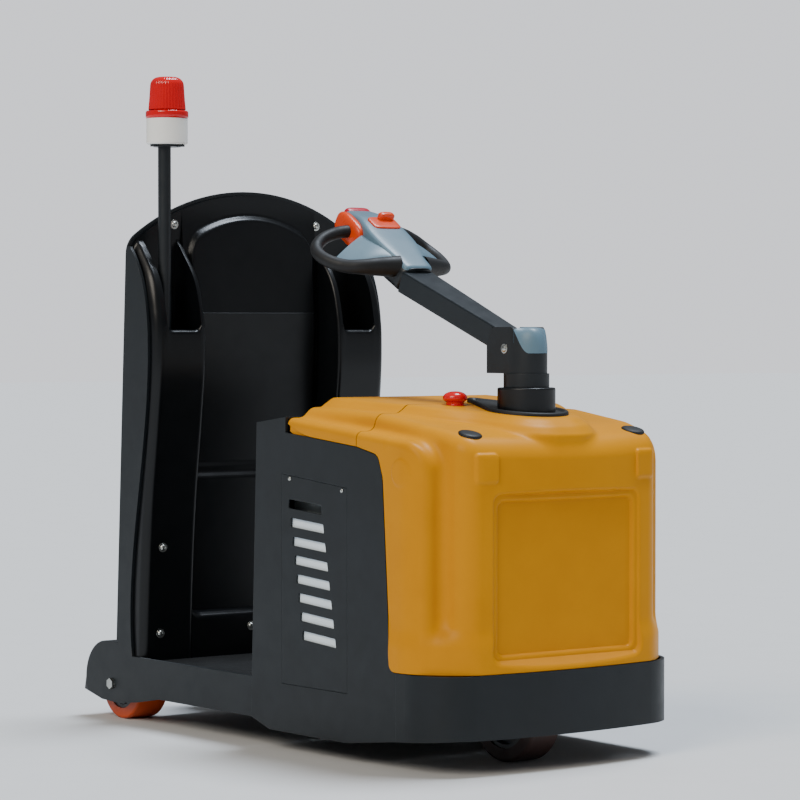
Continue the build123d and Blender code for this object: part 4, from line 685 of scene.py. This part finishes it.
# Tiller head: a dark lower body with a grey moulded cover on it. Both are lofts of rounded sections along
# the head, which is tipped up 12 degrees from the arm.
arm_tilt, head_tilt, head_root, head_length = 21.5, 12.0, 424, 284


def on_head(x, y, z):
    """Point in the machine's frame of one on the head: x runs forward to its root, z stands on its line."""
    for turn, shift in ((head_tilt, (-head_root, 0, 0)), (arm_tilt, pivot)):
        c, s = math.cos(math.radians(turn)), math.sin(math.radians(turn))
        x, y, z = x * c + z * s + shift[0], y + shift[1], z * c - x * s + shift[2]
    return np.stack(np.broadcast_arrays(x, y, z), -1)


def squared(v, power):
    """Sine or cosine bent so that a circle becomes a superellipse: its size to the power 2 / power."""
    return np.sign(v) * np.abs(v) ** (2 / power)


def lofted(x, half, low, high, power, count=56):
    """Rounded sections along the head: a superellipse between low and high, of half width half, at each x."""
    angle = np.linspace(0, 2 * math.pi, count + 1)[None]
    half, low, high, x = (np.asarray(v, float)[:, None] for v in (half, low, high, x))
    y = half * squared(np.cos(angle), power)
    z = (low + high) / 2 + (high - low) / 2 * squared(np.sin(angle), power)
    return surface(on_head(x + 0 * y, y, z))


knots = [0, 24, 60, 120, 170, 215, 255, head_length]
tip = head_length + 0.4
back = np.concatenate([[0, 0.4, 2, 5], np.linspace(10, 272, 36), [278, 282, head_length, tip]])
near_end = np.clip(np.minimum(back, tip - back) / 9, 0, 1)
shut = np.sqrt(near_end * (2 - near_end))
cover_half = flowing(back, knots, [40, 42, 50, 59, 58, 50, 45, 41]) * (0.75 + 0.25 * shut)
cover_top = flowing(back, [0, 60, 140, 215, head_length], [41, 45, 48, 46, 24])
cover_low = flowing(back, [0, 140, 215, head_length], [12, 12, 8, -6])
cover = lofted(-back, cover_half * (shut > 0), cover_low + 9 * (1 - shut), cover_top - 9 * (1 - shut), 4.5)
body_half = flowing(back, knots, [46, 47, 50, 52, 46, 40, 36, 34]) * (0.75 + 0.25 * shut)
body_low = flowing(back, [0, 60, 150, head_length], [-31, -33, -26, -12])
body_high = flowing(back, [0, 45, 90, 150, head_length], [38, 39, 28, 14, 2])
body = lofted(-back, body_half * (shut > 0), body_low * shut - 4 * (1 - shut), body_high, 3.5)
# Charcoal plastic: a fine grain and a low sheen, so that it stays in the shade of the cover.
head_black = finish("moulded_plastic_charcoal", "#0E1215", "#13181B", 0.42, 0.05,
                    grain_mm=1.8, relief_mm=0.04, shine=0.4)
piece("head_body", *body, head_black, "tiller", "black_moulding", 50)

# Each grip is a closed loop of black rubber over a bent tube: out from the root, round, and back to the nose.
# It is an oval carried along a smooth line, deep at the root where it flares into the head.


def at_both_hands(shape):
    """Points and faces of a grid given on the right of the head, and of its mirror image on the left."""
    x, y, z = np.moveaxis(shape, -1, 0)
    return [surface(on_head(x, side * y, z)) for side in (1, -1)]


steps = np.linspace(0, 1, 73)
stations = np.array([0, 0.12, 0.24, 0.36, 0.48, 0.6, 0.72, 0.84, 0.93, 1.0])
line = np.stack([flowing(steps, stations, v) for v in (
    [-36, -48, -62, -84, -118, -156, -190, -210, -212, -210],
    [-32, -80, -120, -148, -168, -175, -163, -130, -90, -50],
    [20, 11, 1, -11, -21, -26, -24, -10, 4, 10])], -1)
run = np.gradient(line, axis=0)
run /= np.linalg.norm(run, axis=1)[:, None]
beside = np.cross(run, [0, 0, 1.0])
beside /= np.linalg.norm(beside, axis=1)[:, None]
above = np.cross(beside, run)
tall = flowing(steps, [0, 0.12, 0.3, 0.5, 1], [27, 23, 17, 15.5, 15])
wide = flowing(steps, [0, 0.12, 0.3, 0.5, 1], [24, 20, 16.5, 15.5, 15])
angle = np.linspace(0, 2 * math.pi, 33)[None]
loop = line[:, None] + (wide[:, None] * np.cos(angle))[..., None] * beside[:, None]
loop = loop + (tall[:, None] * np.sin(angle))[..., None] * above[:, None]
piece("grip_loops", *gathered(at_both_hands(loop)), soft_rubber, "tiller", "black_rubber", 60, ["grips"])

# Fins of the cover: thin webs that sweep from its sides down to the grips. A web is straight from a line on
# the cover to the grip's own line, raised a little between. Its underside is 8 mm lower, its ends are thin.
web, web_rise, grip_share = 8.0, 30.0, 0.47
share = np.linspace(0, 1, 33)
shoulder_line = ([-36, -100, -176], [-30, -46, -50], [38, 38, 24])
shoulder = np.stack([flowing(share, [0, 0.5, 1], v) for v in shoulder_line], -1)
rim_line = np.stack([np.interp(share * grip_share, steps, line[:, i]) for i in range(3)], -1)
out = np.concatenate([np.linspace(0, 1, 17), np.linspace(1, 0, 17), [0]])[None, :, None]
under = np.concatenate([np.zeros(17), np.ones(17), [0]])[None, :, None] * [0, 0, web]
thin = np.sqrt(np.clip(np.minimum(share, 1 - share) / 0.06, 0, 1))[:, None, None]
fin = shoulder[:, None] * (1 - out) + rim_line[:, None] * out
fin = fin + out * (1 - out) * [0, 0, web_rise] - under * thin
head_cover = gathered([cover] + at_both_hands(fin))
piece("head_cover", *head_cover, head_grey, "tiller", "head_grey", 50, ["head_housing"])

# Speed control: orange moulded wings on both sides of the nose, and a rocker plate with a raised
# bar on top of the cover. The plastic is satin, with a broad soft highlight.


def pillow(centre, size, power, rows=25, columns=49):
    """Closed rounded block: a superellipsoid about a centre, with half sizes and a power to square it up."""
    v, u = np.linspace(-math.pi / 2, math.pi / 2, rows)[:, None], np.linspace(0, 2 * math.pi, columns)[None]
    x = centre[0] + size[0] * squared(np.cos(v), power) * squared(np.cos(u), power)
    z = centre[2] + size[2] * squared(np.cos(v), power) * squared(np.sin(u), power)
    y = centre[1] + size[1] * squared(np.sin(v), power) + 0 * u
    return surface(on_head(x, y, z))


control_orange = finish("moulded_plastic_orange", "#D8400A", "#C83A08", 0.3, 0.06,
                        grain_mm=2.5, relief_mm=0.02, shine=0.4)
wings = gathered([pillow((-221, side * 58, 5), (56, 15, 32), 3.0) for side in (-1, 1)])
piece("control_wings", *wings, control_orange, "tiller", "orange_plastic", 50, ["butterflies"])
rocker = gathered([pillow((-184, 4, 48), (24, 40, 5), 5.0), pillow((-200, 16, 57), (9, 22, 12), 3.5)])
piece("rocker_plate", *rocker, control_orange, "tiller", "orange_plastic", 50, ["thumb_switches"])

# Safety button: a red moulded bar across the end of the nose, pushed in by whoever it meets.
# Its plastic is a colder red than the stop's, and satin.
button_red = finish("moulded_plastic_crimson", "#B8082C", "#A60727", 0.3, 0.05, grain_mm=2.5, relief_mm=0.02,
                    shine=0.4)
safety_bar = pillow((-285, 0, 11), (11, 37, 16), 4.0)
piece("safety_button", *safety_bar, button_red, "tiller", "red_plastic", 50, ["belly_button"])

# Mat: extruded rubber sheet with rounded ribs along the machine, about 12 mm apart,
# cut square and let into the platform's floor.
mat_half, ribs, mat_foot, groove, rib_height = 346, 58, 154.2, 158.6, 3.2
pitch = 2 * mat_half / ribs
rib = np.linspace(-mat_half, mat_half, ribs * 8 + 1)
wave = (rib + mat_half) % pitch / pitch
height = groove + rib_height * ramp(np.minimum(wave, 1 - wave) * 5 - 0.3)
rib = np.concatenate([[-mat_half], rib, [mat_half]])
height = np.concatenate([[mat_foot], height, [mat_foot]])
along = np.array([-438, -438, -437, -220, -7, -6, -6.0])
sink = np.array([1, 0.15, 0, 0, 0, 0.15, 1])[:, None]
mat = np.stack([along[:, None] + 0 * rib[None], rib[None] + 0 * along[:, None],
                height[None] * (1 - sink) + mat_foot * sink], -1)
# Black rubber, dull, scuffed paler where shoes have stood.
mat_rubber = finish("ribbed_rubber_mat", "#0C0D0E", "#17191A", 0.66, 0.1,
                    grain_mm=2.0, relief_mm=0.1, shine=0.25)
piece("floor_mat_ribbed", *surface(mat), mat_rubber, "chassis", "ribbed_rubber", 60, ["floor_mat"])

# Beacon: an off-white moulded base, satin, and a red polycarbonate lens, glossy and pressed with upright
# flutes. A wider collar closes the lens on the base.
beacon_white = finish("moulded_plastic_white", "#F1F0EA", "#E6E5DF", 0.35, 0.06, grain_mm=2.5, relief_mm=0.02,
                      edge_mm=2.0)
dress(beacon_white, "beacon_base")
lens_red = finish("moulded_polycarbonate_red", "#D0060F", "#BE050D", 0.14, 0.05, grain_mm=4.0, relief_mm=0.02)
low_box, high_box = (np.array(c) * 1000 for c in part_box("beacon_lens"))
lamp = np.append((low_box + high_box)[:2] / 2, 0)
shoulder = [(22.5 * math.cos(a) + 19.5, 1581 + 22 * math.sin(a)) for a in np.radians(np.linspace(90, 0, 9))]
lens = [(0, 1603), (10, 1603)] + shoulder + [(44, 1550), (46.6, 1522)]
collar = [(44, 1521), (46.6, 1519.2), (50.5, 1519.0), (52.4, 1517.2), (53, 1514), (53, 1505), (52.2, 1501.6),
          (50, 1500.1), (44, 1500)]
parts = [turned(lens, lamp, (0, 0, 1), 144, flutes=36, depth=0.035), turned(collar, lamp, (0, 0, 1), 64)]
piece("beacon_lens_fluted", *gathered(parts), lens_red, "chassis", "red_lens", 50, ["beacon_lens"])

# Cover sheets over the sides of the battery, seen through the slots below the first: pale polypropylene,
# hung close inside the louvred panels and a little bowed by their own weight.
sheet_out, sheet_bow, sheet_thick = 353, 2.3, 1.5
u, v = np.linspace(0, 1, 25)[None], np.linspace(0, 1, 25)[:, None]
sheet_x, sheet_z = 105 + 290 * u + 0 * v, 205 + (345 - 20 * u) * v
sheet_y = -sheet_out - sheet_bow * np.sin(math.pi * u) * np.sin(math.pi * v)
sheet = np.stack([sheet_x, sheet_y, sheet_z], -1)
wrap = np.concatenate([sheet, (sheet + [0, sheet_thick, 0])[::-1], sheet[:1]])
parts = [surface(wrap * [1, side, 1]) for side in (1, -1)]
sheet_white = finish("moulded_polypropylene_white", "#E6F0F6", "#D8E5EE", 0.45, 0.06,
                     grain_mm=3.0, relief_mm=0.03)
piece("battery_cover_sheets", *gathered(parts), sheet_white, "chassis", "battery_case", 45)

# Screws that hold the louvred panels: pan heads near the top corners,
# turned and zinc plated as the bolts are.
pan = [(0, 2.6), (2.4, 2.5), (4.2, 1.9), (5.2, 0.8), (5.4, -0.5)]
spots = [(x, side * 360, z) for side in (-1, 1) for x, z in ((158, 635), (361, 616))]
screws = gathered([turned(pan, spot, (0, spot[1], 0), 16) for spot in spots])
piece("panel_screws", *screws, zinc_plate, "chassis", "zinc_steel", 35)

# Studio: a pale floor that runs on behind the machine, a broad soft light from the camera's left, a cooler
# one overhead that catches the rolled edges, and pale surroundings that fill the shade.
floor_mesh = bpy.data.meshes.new("studio_floor")
floor_mesh.from_pydata([(-40, -40, 0), (40, -40, 0), (40, 40, 0), (-40, 40, 0)], [], [(0, 1, 2, 3)])
floor_paint = finish("studio_floor_white", "#CECECD", "#CCCCCB", 0.7, 0.05,
                     grain_mm=20.0, relief_mm=0.0, shine=0.1)
floor_mesh.materials.append(floor_paint)
floor = bpy.data.objects.new("studio_floor", floor_mesh)
bpy.context.scene.collection.objects.link(floor)

world = bpy.data.worlds.new("studio_surround")
world.use_nodes = True
surround = world.node_tree
fill = surround.nodes["Background"]
fill.inputs["Color"].default_value = linear("#F4F8FF")
fill.inputs["Strength"].default_value = 0.25
backdrop = add(surround, "Background", Color=linear("#F3F5FB"), Strength=1.16)
seen = add(surround, "LightPath").outputs["Is Camera Ray"]
both = add(surround, "MixShader", in_0=seen, in_1=fill.outputs[0], in_2=backdrop.outputs[0])
surround.links.new(both.outputs[0], surround.nodes["World Output"].inputs["Surface"])
bpy.context.scene.world = world

for name, power, width, colour, towards in (("key_light", 2.0, 30, "#FFF6E8", (0.25, -0.76, 0.60)),
                                            ("top_light", 4.8, 26, "#E6F1FF", (0.02, 0.30, 0.95))):
    light = bpy.data.lights.new(name, "SUN")
    light.energy, light.angle, light.color = power, math.radians(width), linear(colour)[:3]
    lamp_holder = bpy.data.objects.new(name, light)
    lamp_holder.matrix_world = Vector(towards).to_track_quat("Z", "Y").to_matrix().to_4x4()
    bpy.context.scene.collection.objects.link(lamp_holder)

# Camera: a long lens at chest height off the right front corner, about 7.4 m away,
# level but for a slight tilt down.
yaw, pitch, eye_place = math.radians(37.28), math.radians(1.4), (5.9515, -4.4505, 0.98964)
focal_px, frame_px, sensor_mm = 3077.73, 800, 36
look = Vector((-math.cos(yaw) * math.cos(pitch), math.sin(yaw) * math.cos(pitch), -math.sin(pitch)))
right = look.cross(Vector((0, 0, 1))).normalized()
up = right.cross(look)
view = bpy.data.cameras.new("photo_camera")
view.lens, view.sensor_width, view.sensor_fit = focal_px / frame_px * sensor_mm, sensor_mm, "HORIZONTAL"
eye = bpy.data.objects.new("photo_camera", view)
eye.matrix_world = Matrix.Translation(eye_place) @ Matrix((right, up, -look)).transposed().to_4x4()
bpy.context.scene.collection.objects.link(eye)
bpy.context.scene.camera = eye

bpy.context.view_layer.update()
